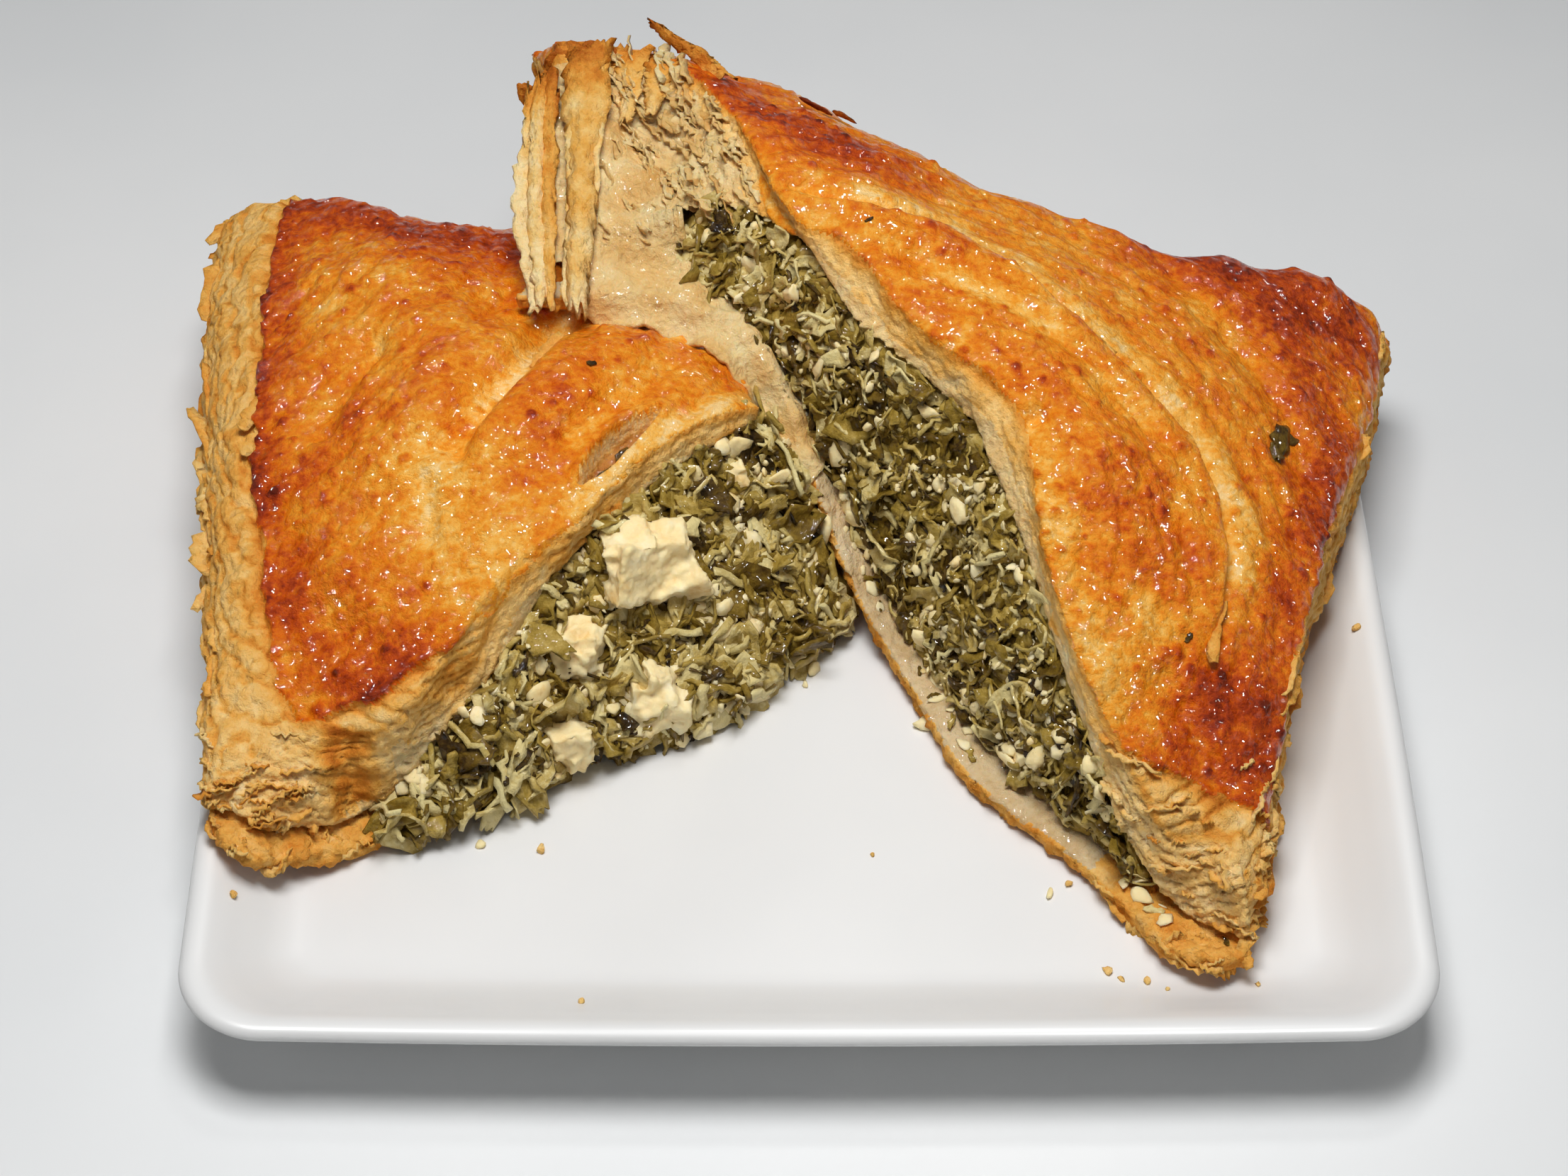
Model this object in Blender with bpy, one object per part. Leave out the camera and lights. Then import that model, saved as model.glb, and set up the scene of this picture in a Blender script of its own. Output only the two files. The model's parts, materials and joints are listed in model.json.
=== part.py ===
# Spanakopita pie, baked in puff pastry, cut into two halves and served on a white plate.
# Lengths are in millimetres until the meshes are made. +Z is up, the front of the plate faces -Y.
# While it is drawn, the plate's foot stands at z = 0; the root empty then centres the whole object.
import math

import bmesh
import bpy
import numpy as np
from mathutils import Vector, noise

MM = 0.001

# Plate
PLATE_WIDTH = 194.0
PLATE_DEPTH = 172.0
PLATE_CENTRE = (3.8, -6.5)
PLATE_CORNER = 13.0       # corner radius of the lip seen from above
PLATE_BOW = 1.3           # how far each side swells out at its middle
FLOOR = 9.6               # top of the well
LIP = 18.4                # top of the rounded lip
FOOT_INSET = 22.0         # the foot ring starts this far inside the lip
FOOT_RING = 4.6           # its width
FOOT_RECESS = 4.0         # how far the underside inside the ring is raised

# Pie
SHEET = 3.5               # thickness of the lower pastry
SEAL = 3.2                # thickness of the upper pastry where the two are pressed together
CRUST = 7.5               # thickness of the domed upper pastry
WALL_DEPTH = 6.0          # how far the hollow's edge stays inside the shoulder
LAY = 0.5                 # clearance between two pieces that lie on each other
SEAM = 1.0                # clearance between the upper and the lower pastry at the sealed edge
LEAN_START = 57.0         # where the right half starts to climb onto the left one
LEAN_RUN = 48.0           # how long it climbs
LEAN_RISE = 37.0          # how high it climbs
HINGE = (62.0, -75.0)     # front tip of the right half, where it still lies on the plate
HINGE_NORMAL = (-0.952, 0.305)
SHEET_REACH = 5.2         # how far beside a point the lower pastry is held up by the plate's rim
PRESS_MARGIN = 9.0        # the left half starts to be flattened this far in front of the right one
PRESS_RUN = 5.0           # and is quite flat after this distance
PRESS_GAP = 1.8           # clearance between the flattened crust and the right half
PRESSED_CRUST = 4.0       # thickness of the flattened crust

WALL_ROWS = 3
ROWS = 10
COLUMNS = 16
LEAST_FILLING = 0.4       # the filling is nowhere thinner
SEALED_SIDE = 0.22        # share of the rows over which the roof rises from the back's seal
SEALED_TIP = 0.15         # share of the columns over which it rises from the side's seal
BROW = 0.12               # how far the slumped filling leans out below the crust, as a share
TUCK_ABOVE = (10.5, 0.5)  # how far the left filling runs in under the right half, at its top
TUCK_BELOW = (3.5, 3.5)   # and at its bottom
TUCK_HEIGHT = 12.0        # filling this high is tucked in fully
TUCK_GAP = 1.4            # clearance between the tucked filling and the right half
POCKET_GAP = 0.4          # clearance around each chunk of feta

# Profile across the plate's rim, as (inset from the lip's outermost line, height): the foot ring
# and the outer side first, then over the lip and down the slope to the well.
RIM_OUTSIDE = [(FOOT_INSET + FOOT_RING + 0.9, FOOT_RECESS), (FOOT_INSET + FOOT_RING, 0.0),
               (FOOT_INSET, 0.0), (20.5, 1.4), (14.0, 6.6), (7.0, 11.9), (2.4, 14.7), (0.6, 15.9),
               (0.0, 17.1), (0.5, 18.0)]
RIM_INSIDE = [(1.8, LIP), (3.2, 18.2), (5.4, 16.9), (9.0, 14.0), (13.0, 11.1), (16.0, 9.9),
              (19.0, FLOOR)]

# Each half is drawn by curves with a few points each. Its outer corner lies at the back, beside the
# plate's edge. The back curves run from that corner along the back, the side curves from it to the
# front tip, and the cut curves from the front tip along the knife's cut. The shoulder is where the
# top turns down into the wall, and the outline is the wall's foot. From the top down, the cut passes
# the crust's upper edge (top), its lower edge (roof), the filling's lower edge (bed) and the edge of
# the lower pastry. Curves without heights lie on what is under them.

# Right half, which climbs onto the left one.
RIGHT = {
    "back_shoulder": [(101.5, 50, 37), (93, 51.5, 41.5), (76, 51.5, 46), (58, 55, 49), (33, 62.6, 54),
                      (7, 74.4, 61), (-11, 79.4, 64.5), (-26, 87, 64), (-45, 93, 59)],
    "side_shoulder": [(101.5, 50, 37), (99.3, 33, 36), (96, 17.6, 36.5), (86.7, -11.6, 36.5),
                      (78.5, -40, 34), (74, -53, 31), (66, -61, 28)],
    "top_cut": [(66, -61, 28), (60, -60.5, 30), (51.7, -51.5, 38), (45.8, -41.7, 45), (40.3, -24.3, 53),
                (37, 1.2, 59), (19, 18.1, 64), (10.3, 32.1, 67), (0, 38.5, 69), (-6.6, 57, 70),
                (-22, 80, 69), (-40, 86, 68)],
    "roof_cut": [(64.5, -69, 15), (58.3, -63.3, 21), (53.3, -58.8, 26), (46.4, -45, 34), (41, -27.4, 42),
                 (35.2, -10, 49), (30.5, 5.6, 53), (13, 19, 58), (7.8, 31.1, 61), (-5, 45.6, 63),
                 (-17, 50, 60), (-29, 45, 54), (-42, 41, 52)],
    "bed_cut": [(64, -70.5), (58.7, -64.8), (49.9, -50.8), (37.9, -41.2), (28.3, -24),
                (18.8, -4), (12.5, 6.5), (6, 18.5), (-2.5, 30.5), (-12, 38.5),
                (-23, 42), (-42, 41.5)],
    "lower_cut": [(66, -76.6), (60.6, -75.4), (56.4, -68), (47.4, -55.6), (37.9, -46),
                  (29.4, -38), (24.2, -25), (16.6, -9.4), (10.2, -0.8), (4.7, 14),
                  (0, 23.5), (-8, 32.5), (-20, 36.5), (-46, 37.5)],
    "back_outline": [(101.5, 57), (93, 58.5), (76, 58), (57, 62), (35, 69.5), (18, 76.5), (-11, 87),
                     (-25, 92), (-46, 97)],
    "side_outline": [(107.5, 50), (105.6, 42), (101.4, 26), (92.4, 1.6), (82, -26), (79.5, -38),
                     (77.5, -52), (74.5, -65), (71.5, -71.5)],
    "tip": (71.0, -75.0),
    "middle": (45.0, 20.0),
    "crown": 3.0,
    "closed_end": 0.1,
    "filled_from": 0.06,
    "filled_to": 0.86,
}

# Left half, whose filling has slumped forward onto the plate.
LEFT = {
    "back_shoulder": [(-95, 76, 37.5), (-84, 74.5, 40), (-66, 67, 42), (-46, 64, 41.5), (-28, 58, 40),
                      (-13, 47, 37)],
    "side_shoulder": [(-95, 76, 37.5), (-90, 40, 41), (-88.5, 6, 40), (-81, -22, 36), (-76, -41, 31)],
    "top_cut": [(-76, -41, 31), (-64, -44, 33), (-53, -34.5, 40), (-44, -22, 46), (-33, -13, 48),
                (-20, 3, 50), (-4, 15, 48.5)],
    "roof_cut": [(-83, -55.5, 17), (-73, -50.5, 15), (-63, -45, 16), (-52.5, -36.5, 26), (-45, -29, 31),
                 (-39, -19.4, 37), (-30.5, -9.3, 41), (-13, 6.5, 44), (-4.5, 14.5, 44)],
    "bed_cut": [(-83, -56), (-73, -51), (-62, -45), (-52, -38.5), (-43, -32.5),
                (-33, -26), (-18, -21), (-8.5, -15.5), (-2, -6.5), (7, 2)],
    "lower_cut": [(-83, -60.5), (-72.5, -54), (-62.5, -48.7), (-52.5, -41), (-43.2, -33),
                  (-33.2, -26.4), (-18.2, -21.4), (-8.6, -15.9), (-2, -6.9), (7.1, 1.6)],
    "foot": [(-83, -56.5), (-73, -51.5), (-62, -46), (-51.5, -43.7), (-43.3, -39.6), (-33.4, -33.8),
             (-18.1, -28.8), (-7.8, -23.7), (0.5, -14), (10.7, -4.4)],
    "foot_leaves_sheet": 0.4,
    "back_outline": [(-95, 83.5), (-84, 82.5), (-66, 75), (-46, 71.5), (-28, 65), (-12, 53)],
    "side_outline": [(-104.5, 73), (-103, 48), (-99, 17.5), (-95.6, -11), (-93, -31), (-90.5, -52)],
    "tip": (-88.5, -57.5),
    "middle": (-60.0, 20.0),
    "crown": 5.0,
    "closed_end": 0.0,
    "filled_from": 0.12,
    "filled_to": 1.0,
}

# Chunks of feta in the cut face of the left half: centre, half lengths, turn about Z in degrees.
FETA = [
    ((-24.3, -10.6, 35.0), (11.0, 7.2, 7.4), 38),
    ((-33.6, -22.6, 26.6), (6.4, 6.0, 7.0), 30),
    ((-35.8, -32.4, 17.6), (7.8, 4.8, 5.4), 25),
    ((-20.6, -25.2, 18.3), (5.4, 4.4, 5.2), 20),
    ((1.6, 1.6, 22.6), (3.2, 3.0, 3.8), 40),
    ((-8.6, 6.4, 36.4), (3.6, 3.2, 4.4), 30),
]


def soft_step(t):
    t = np.clip(t, 0.0, 1.0)
    return t * t * (3.0 - 2.0 * t)


def spline(points):
    """Smooth curve through the points; takes 0 to 1 along its length."""
    knots = np.array(points, float)
    runs = np.linalg.norm(np.diff(knots, axis=0), axis=1)
    at = np.concatenate([[0.0], np.cumsum(runs)]) / runs.sum()
    slopes = np.gradient(knots, at, axis=0)

    def along(t):
        k = int(np.clip(np.searchsorted(at, t, side="right") - 1, 0, len(at) - 2))
        step = at[k + 1] - at[k]
        x = (t - at[k]) / step
        start = knots[k] * (1 + 2 * x) * (1 - x) ** 2 + slopes[k] * step * x * (1 - x) ** 2
        return start + knots[k + 1] * x * x * (3 - 2 * x) + slopes[k + 1] * step * x * x * (x - 1)

    return along


def plate_surface(x, y):
    """Height of the plate's upper side below a point, with the lip's height outside the plate."""
    inset = min(PLATE_WIDTH / 2 - abs(x - PLATE_CENTRE[0]), PLATE_DEPTH / 2 - abs(y - PLATE_CENTRE[1]))
    insets = [across for across, _ in RIM_INSIDE]
    heights = [height for _, height in RIM_INSIDE]
    return float(np.interp(inset, insets, heights))


def rest_left(x, y):
    """Underside of the left half: it lies in the well and on the rim."""
    steps = (-SHEET_REACH, 0.0, SHEET_REACH)
    return max(plate_surface(x + dx, y + dy) for dx in steps for dy in steps) + LAY


def rest_right(x, y):
    """Underside of the right half: in the well at its front, then climbing onto the left half."""
    along = (x - HINGE[0]) * HINGE_NORMAL[0] + (y - HINGE[1]) * HINGE_NORMAL[1]
    climb = FLOOR + LAY + LEAN_RISE * soft_step((along - LEAN_START) / LEAN_RUN)
    return max(climb, rest_left(x, y))


def depth_under_right(x, y):
    """How far a point seen from above lies inside the right half's cut edge; negative is outside."""
    edge = spline(RIGHT["lower_cut"])
    line = np.array([edge(t)[:2] for t in np.linspace(0.0, 1.0, 60)])
    beside = x - line[-1, 0]
    gaps = line - np.array([x, y])
    nearest = int(np.clip(np.argmin((gaps ** 2).sum(axis=1)), 1, len(line) - 2))
    along = line[nearest + 1] - line[nearest - 1]
    across = -gaps[nearest]
    turn = along[0] * across[1] - along[1] * across[0]
    return min(-math.copysign(math.hypot(*across), turn), beside)


def press_down(points, clearance):
    """Flatten the left half where the right one lies on it."""
    for row in points:
        for point in row:
            limit = rest_right(point[0], point[1]) - clearance
            weight = soft_step((depth_under_right(point[0], point[1]) + PRESS_MARGIN) / PRESS_RUN)
            if point[2] > limit:
                point[2] += (limit - point[2]) * weight
    return points


def patch(back, cut, side, end, us, vs):
    """Surface spanned between four edge curves: u runs from back to cut, v from side to end."""
    grid = np.zeros((len(us), len(vs), 3))
    for i, u in enumerate(us):
        for j, v in enumerate(vs):
            ruled = (1 - u) * back(v) + u * cut(v) + (1 - v) * side(u) + v * end(u)
            corners = (1 - u) * (1 - v) * back(0) + (1 - u) * v * back(1)
            corners = corners + u * (1 - v) * cut(0) + u * v * cut(1)
            grid[i, j] = ruled - corners
    return grid


def drawn_in(points, towards, distance):
    """The same points, each moved a fixed distance towards another point, seen from above."""
    moved = []
    for x, y, z in points:
        away = math.hypot(towards[0] - x, towards[1] - y)
        share = min(distance / max(away, 1e-6), 0.5)
        moved.append((x + (towards[0] - x) * share, y + (towards[1] - y) * share, z))
    return moved


def patches(half):
    """The three surfaces that a half is built from: its top, its roof inside and its bed below."""
    us = np.linspace(0.0, 1.0, ROWS + 1) ** 1.25
    vs = np.linspace(0.0, 1.0, COLUMNS + 1) ** 1.3
    surfaces = {}
    for name in ("top", "roof", "bed"):
        inward = 0.0 if name == "top" else WALL_DEPTH
        back = drawn_in(half["back_shoulder"], half["side_shoulder"][-1], inward)
        side = drawn_in(half["side_shoulder"], half["back_shoulder"][-1], inward)
        side_start = drawn_in([half["back_shoulder"][0]], half["middle"], inward * 1.4)[0]
        back[0] = side[0] = side_start
        cut = spline([(*point, 0.0)[:3] for point in half[name + "_cut"]])
        back, side = spline(back), spline(side)
        middle = [side(t) + (cut(0) - side(1)) * t for t in (0.25, 0.5, 0.75)]
        side_edge = spline([side(0), *middle, cut(0)])
        end_edge = spline([back(1), cut(1)])
        surfaces[name] = patch(back, cut, side_edge, end_edge, us, vs)
    return us, vs, surfaces


def wall_offsets(half, grid, us, vs):
    """How far the outline lies outside a surface, along the back and along the side."""
    back_outline, side_outline = spline(half["back_outline"]), spline(half["side_outline"])
    along_back = np.array([back_outline(v) - grid[0, j, :2] for j, v in enumerate(vs)])
    along_side = np.array([side_outline(u) - grid[i, 0, :2] for i, u in enumerate(us)])
    return along_back, along_side


def with_walls(half, grid, us, vs, rest, lift, rounded):
    """Add the rows that carry a surface out and down to the half's outline."""
    along_back, along_side = wall_offsets(half, grid, us, vs)
    rows, columns = len(us) + WALL_ROWS, len(vs) + WALL_ROWS
    full = np.zeros((rows, columns, 3))
    for i in range(rows):
        for j in range(columns):
            iu, jv = max(i - WALL_ROWS, 0), max(j - WALL_ROWS, 0)
            down_back = max(WALL_ROWS - i, 0) / WALL_ROWS
            down_side = max(WALL_ROWS - j, 0) / WALL_ROWS
            point = grid[iu, jv].copy()
            out_back = math.sin(down_back * math.pi / 2) if rounded else down_back
            out_side = math.sin(down_side * math.pi / 2) if rounded else down_side
            both = math.hypot(out_back, out_side)
            if out_back and out_side:
                out_back, out_side = (part * max(out_back, out_side) / both for part in (out_back, out_side))
            point[:2] += along_back[jv] * out_back * (down_back > 0)
            point[:2] += along_side[iu] * out_side * (down_side > 0)
            drop = max(down_back, down_side)
            if rounded:
                drop = 1 - math.cos(drop * math.pi / 2)
            floor = rest(point[0], point[1]) + lift
            point[2] = point[2] + (floor - point[2]) * drop if rounded else floor
            full[i, j] = point
    return full


def closed_solid(name, top, under, rings, swell, colour):
    """Closed body between two surfaces with the same rows and columns; its rim has extra rings."""
    rows, columns = top.shape[:2]
    points = [tuple(point) for surface in (top, under) for row in surface for point in row]
    faces = []

    def at(level, i, j):
        return level * rows * columns + i * columns + j

    for i in range(rows - 1):
        for j in range(columns - 1):
            square = [(i, j), (i + 1, j), (i + 1, j + 1), (i, j + 1)]
            for three in ((0, 1, 2), (0, 2, 3)):
                faces.append([at(0, *square[k]) for k in three])
                faces.append([at(1, *square[k]) for k in reversed(three)])
    loop = [(0, j) for j in range(columns - 1)] + [(i, columns - 1) for i in range(rows - 1)]
    loop += [(rows - 1, j) for j in range(columns - 1, 0, -1)] + [(i, 0) for i in range(rows - 1, 0, -1)]
    levels = [[at(0, i, j) for i, j in loop]]
    for ring in range(1, rings + 1):
        depth = ring / (rings + 1)
        level = []
        for i, j in loop:
            point = top[i, j] * (1 - depth) + under[i, j] * depth
            if i == rows - 1:
                outward = under[i, j] - under[i - 1, j]
                outward[2] = 0.0
                outward /= max(np.linalg.norm(outward), 1e-6)
                rough = noise.noise(Vector(point) * 0.16)
                fade = math.sin(math.pi * min(j / (columns - 1), 1.0))
                point = point + outward * (swell * math.sin(math.pi * depth) + 1.6 * rough * (swell > 0)) * fade
            points.append(tuple(point))
            level.append(len(points) - 1)
        levels.append(level)
    levels.append([at(1, i, j) for i, j in loop])
    for upper, lower in zip(levels, levels[1:]):
        for k in range(len(loop)):
            after = (k + 1) % len(loop)
            faces.append([upper[k], upper[after], lower[after]])
            faces.append([upper[k], lower[after], lower[k]])
    return add_mesh(name, points, faces, colour)


def add_mesh(name, points, faces, colour):
    mesh = bpy.data.meshes.new(name)
    mesh.from_pydata([Vector(point) * MM for point in points], [], faces)
    work = bmesh.new()
    work.from_mesh(mesh)
    bmesh.ops.recalc_face_normals(work, faces=work.faces)
    if work.calc_volume(signed=True) < 0:
        bmesh.ops.reverse_faces(work, faces=work.faces)
    work.to_mesh(mesh)
    work.free()
    mesh.shade_smooth()
    mesh.set_sharp_from_angle(angle=math.radians(50))
    part = bpy.data.objects.new(name, mesh)
    parts.objects.link(part)
    part.parent = root
    mesh.materials.append(materials[colour])
    return part


def inner_rows(us, vs, half):
    """First row and column inside the sealed edge, and the last column that holds filling."""
    first_row = WALL_ROWS + 1
    first_column = WALL_ROWS + int(np.searchsorted(vs, half["filled_from"]))
    last_column = WALL_ROWS + int(np.searchsorted(vs, half["filled_to"]))
    return first_row, first_column, last_column


def hollow(half, us, vs):
    """1 where the roof stands over the filling, 0 at the sealed edges."""
    rows, columns = len(us) + WALL_ROWS, len(vs) + WALL_ROWS
    open_part = np.zeros((rows, columns))
    for i in range(rows):
        for j in range(columns):
            u, v = us[max(i - WALL_ROWS, 0)], vs[max(j - WALL_ROWS, 0)]
            amount = soft_step(u / SEALED_SIDE) * soft_step((v - 0.01) / SEALED_TIP)
            if half["closed_end"]:
                amount *= soft_step((1.0 - v) / half["closed_end"])
            open_part[i, j] = amount
    return open_part


def build_half(prefix, half, rest, pressed):
    us, vs, surfaces = patches(half)
    for i, u in enumerate(us):
        for j, v in enumerate(vs):
            surfaces["top"][i, j, 2] += half["crown"] * math.sin(math.pi * u) * math.sin(math.pi * v ** 0.7)
    lower_edge = spline(half["lower_cut"])
    bed = with_walls(half, surfaces["bed"], us, vs, rest, SHEET, rounded=False)
    lip = np.array([(*lower_edge(vs[max(j - WALL_ROWS, 0)]), 0.0) for j in range(COLUMNS + 1 + WALL_ROWS)])
    for j in range(WALL_ROWS):
        spread = (WALL_ROWS - j) / WALL_ROWS
        lip[j, :2] += (np.array(half["tip"]) - lower_edge(0.0)) * spread
    for point in lip:
        point[2] = rest(point[0], point[1]) + SHEET
    sheet_top = np.concatenate([bed, lip[None]], axis=0)
    sheet_under = sheet_top.copy()
    for row in sheet_under:
        for point in row:
            point[2] = rest(point[0], point[1])
    closed_solid(prefix + "_lower_pastry", sheet_top, sheet_under, 0, 0.0, "pale pastry")

    top = with_walls(half, surfaces["top"], us, vs, rest, SHEET + SEAM + SEAL, rounded=True)
    open_part = hollow(half, us, vs)
    roof = with_walls(half, surfaces["roof"], us, vs, rest, SHEET + SEAM, rounded=False)
    roof_heights = surfaces["roof"][:, :, 2]
    for i in range(ROWS + 1):
        for j in range(COLUMNS + 1):
            u = us[i]
            gap = CRUST * (1 - u) + (surfaces["top"][-1, j, 2] - roof_heights[-1, j]) * u
            inside = surfaces["top"][i, j, 2] - gap
            row, column = i + WALL_ROWS, j + WALL_ROWS
            seam = roof[row, column, 2]
            roof[row, column, 2] = seam + max(inside - seam, 0.0) * open_part[row, column]
    if pressed:
        press_down(top, PRESS_GAP)
        press_down(roof, PRESS_GAP + PRESSED_CRUST)
    closed_solid(prefix + "_upper_pastry", top, roof, 1, 0.0, "brown crust")

    row, column, last = inner_rows(us, vs, half)
    fill_top = roof[row:, column:last + 1].copy()
    fill_top[:, :, 2] -= LAY
    fill_under = bed[row:, column:last + 1].copy()
    fill_under[:, :, 2] += LAY
    if "foot" in half:
        foot = spline(half["foot"])
        toe = []
        for v in vs[column - WALL_ROWS:]:
            x, y = foot(v)
            on_sheet = 1 - soft_step((v - half["foot_leaves_sheet"]) / 0.08)
            toe.append((x, y, rest(x, y) + 0.2 + (SHEET + LAY) * on_sheet))
        toe = np.array(toe)
        fill_under = np.concatenate([fill_under, toe[None]], axis=0)
        brow = fill_top[-1] + (toe - fill_top[-1]) * BROW
        fill_top = np.concatenate([fill_top, brow[None]], axis=0)
        tucked_top, tucked_under = fill_top[:, -1].copy(), fill_under[:, -1].copy()
        for upper, lower in zip(tucked_top, tucked_under):
            bulk = soft_step((upper[2] - lower[2]) / TUCK_HEIGHT)
            upper[:2] += np.array(TUCK_ABOVE) * bulk + np.array(TUCK_BELOW) * (1 - bulk)
            lower[:2] += np.array(TUCK_BELOW)
            upper[2] = min(upper[2], rest_right(upper[0], upper[1]) - TUCK_GAP)
        fill_top = np.concatenate([fill_top, tucked_top[:, None]], axis=1)
        fill_under = np.concatenate([fill_under, tucked_under[:, None]], axis=1)
    fill_top[:, :, 2] = np.maximum(fill_top[:, :, 2], fill_under[:, :, 2] + LEAST_FILLING)
    return closed_solid(prefix + "_filling", fill_top, fill_under, 3, 1.5, "spinach")


def rounded_outline(inset, height):
    """One ring of the plate: a rectangle with round corners and slightly swelling sides."""
    half_x, half_y = PLATE_WIDTH / 2 - inset - PLATE_BOW, PLATE_DEPTH / 2 - inset - PLATE_BOW
    radius = max(PLATE_CORNER - 0.45 * inset, 4.0)
    ring = []
    for quarter in range(4):
        sx = (1, -1, -1, 1)[quarter]
        sy = (1, 1, -1, -1)[quarter]
        for step in range(6):
            angle = math.radians(90 * quarter + 90 * step / 5)
            x = sx * (half_x - radius) + radius * math.cos(angle)
            y = sy * (half_y - radius) + radius * math.sin(angle)
            ring.append((x, y))
        for share in (0.4, 0.0, -0.4):
            if quarter % 2 == 0:
                ring.append((sx * (half_x - radius) * share, sy * half_y))
            else:
                ring.append((sx * half_x, sy * (half_y - radius) * share))
    bowed = []
    for x, y in ring:
        x_out = x + PLATE_BOW * math.copysign(1 - (y / half_y) ** 2, x) * (abs(x) / half_x) ** 4
        y_out = y + PLATE_BOW * math.copysign(1 - (x / half_x) ** 2, y) * (abs(y) / half_y) ** 4
        bowed.append((x_out + PLATE_CENTRE[0], y_out + PLATE_CENTRE[1], height))
    return bowed


def build_plate():
    rings = [rounded_outline(inset, height) for inset, height in RIM_OUTSIDE + RIM_INSIDE]
    count = len(rings[0])
    points = [point for ring in rings for point in ring]
    faces = [list(range(count))[::-1], list(range(len(points) - count, len(points)))]
    for ring in range(len(rings) - 1):
        for k in range(count):
            after = (k + 1) % count
            low, high = ring * count, (ring + 1) * count
            faces.append([low + k, low + after, high + after, high + k])
    return add_mesh("plate", points, faces, "porcelain")


def crumbly_lump(name, centre, lengths, turn, grow, collection_name):
    """Broken lump of cheese: a ball pushed in and out unevenly, in its real place."""
    mesh = bpy.data.meshes.new(name)
    work = bmesh.new()
    bmesh.ops.create_icosphere(work, subdivisions=2, radius=1.0)
    cosine, sine = math.cos(math.radians(turn)), math.sin(math.radians(turn))
    for vert in work.verts:
        way = vert.co.normalized()
        bumps = 1.0 + 0.16 * noise.noise(way * 1.7 + Vector(centre))
        lump = Vector([way[axis] * (lengths[axis] * bumps + grow) for axis in range(3)])
        vert.co = Vector((lump.x * cosine - lump.y * sine, lump.x * sine + lump.y * cosine, lump.z)) * MM
    work.to_mesh(mesh)
    work.free()
    lump = bpy.data.objects.new(name, mesh)
    lump.location = Vector(centre) * MM
    lump.parent = root
    bpy.data.collections[collection_name].objects.link(lump)
    return lump


def build_feta(filling):
    for number, (centre, lengths, turn) in enumerate(FETA, start=1):
        chunk = crumbly_lump(f"feta_{number}", centre, lengths, turn, 0.0, parts.name)
        chunk.data.materials.append(materials["feta"])
        pocket = crumbly_lump(f"feta_pocket_{number}", centre, lengths, turn, POCKET_GAP, cutters.name)
        pocket.display_type = "WIRE"
        pocket.hide_render = True
        cut = filling.modifiers.new(f"pocket {number}", "BOOLEAN")
        cut.operation = "DIFFERENCE"
        cut.object = pocket


def make_material(name, colour, roughness):
    material = bpy.data.materials.new(name)
    material.use_nodes = True
    shader = material.node_tree.nodes["Principled BSDF"]
    shader.inputs["Base Color"].default_value = (*colour, 1.0)
    shader.inputs["Roughness"].default_value = roughness
    shader.inputs["Metallic"].default_value = 0.0
    material.diffuse_color = (*colour, 1.0)
    return material


def centre_on_origin():
    """Put the middle of the whole object over the origin, its foot at z = 0."""
    bpy.context.view_layer.update()
    corners = []
    for part in parts.objects:
        shape = part.evaluated_get(bpy.context.evaluated_depsgraph_get())
        corners += [part.matrix_world @ vert.co for vert in shape.data.vertices]
    low = [min(corner[axis] for corner in corners) for axis in range(3)]
    high = [max(corner[axis] for corner in corners) for axis in range(3)]
    root.location = (-(low[0] + high[0]) / 2, -(low[1] + high[1]) / 2, -low[2])
    bpy.context.view_layer.update()


for old in list(bpy.data.objects):
    bpy.data.objects.remove(old)

parts = bpy.data.collections.new("spanakopita pie")
cutters = bpy.data.collections.new("cutters")
for collection in (parts, cutters):
    bpy.context.scene.collection.children.link(collection)
root = bpy.data.objects.new("spanakopita root", None)
bpy.context.scene.collection.objects.link(root)

materials = {
    "porcelain": make_material("porcelain", (0.82, 0.82, 0.81), 0.18),
    "pale pastry": make_material("pale pastry", (0.74, 0.47, 0.19), 0.6),
    "brown crust": make_material("brown crust", (0.55, 0.20, 0.035), 0.3),
    "spinach": make_material("spinach", (0.055, 0.062, 0.022), 0.5),
    "feta": make_material("feta", (0.82, 0.74, 0.50), 0.6),
}

build_plate()
build_half("right", RIGHT, rest_right, pressed=False)
left_filling = build_half("left", LEFT, rest_left, pressed=True)
build_feta(left_filling)
centre_on_origin()
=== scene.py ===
import json
import math

import bmesh
import bpy
import numpy as np
from mathutils import Euler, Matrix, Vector
from mathutils.bvhtree import BVHTree
from mathutils.kdtree import KDTree

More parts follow.
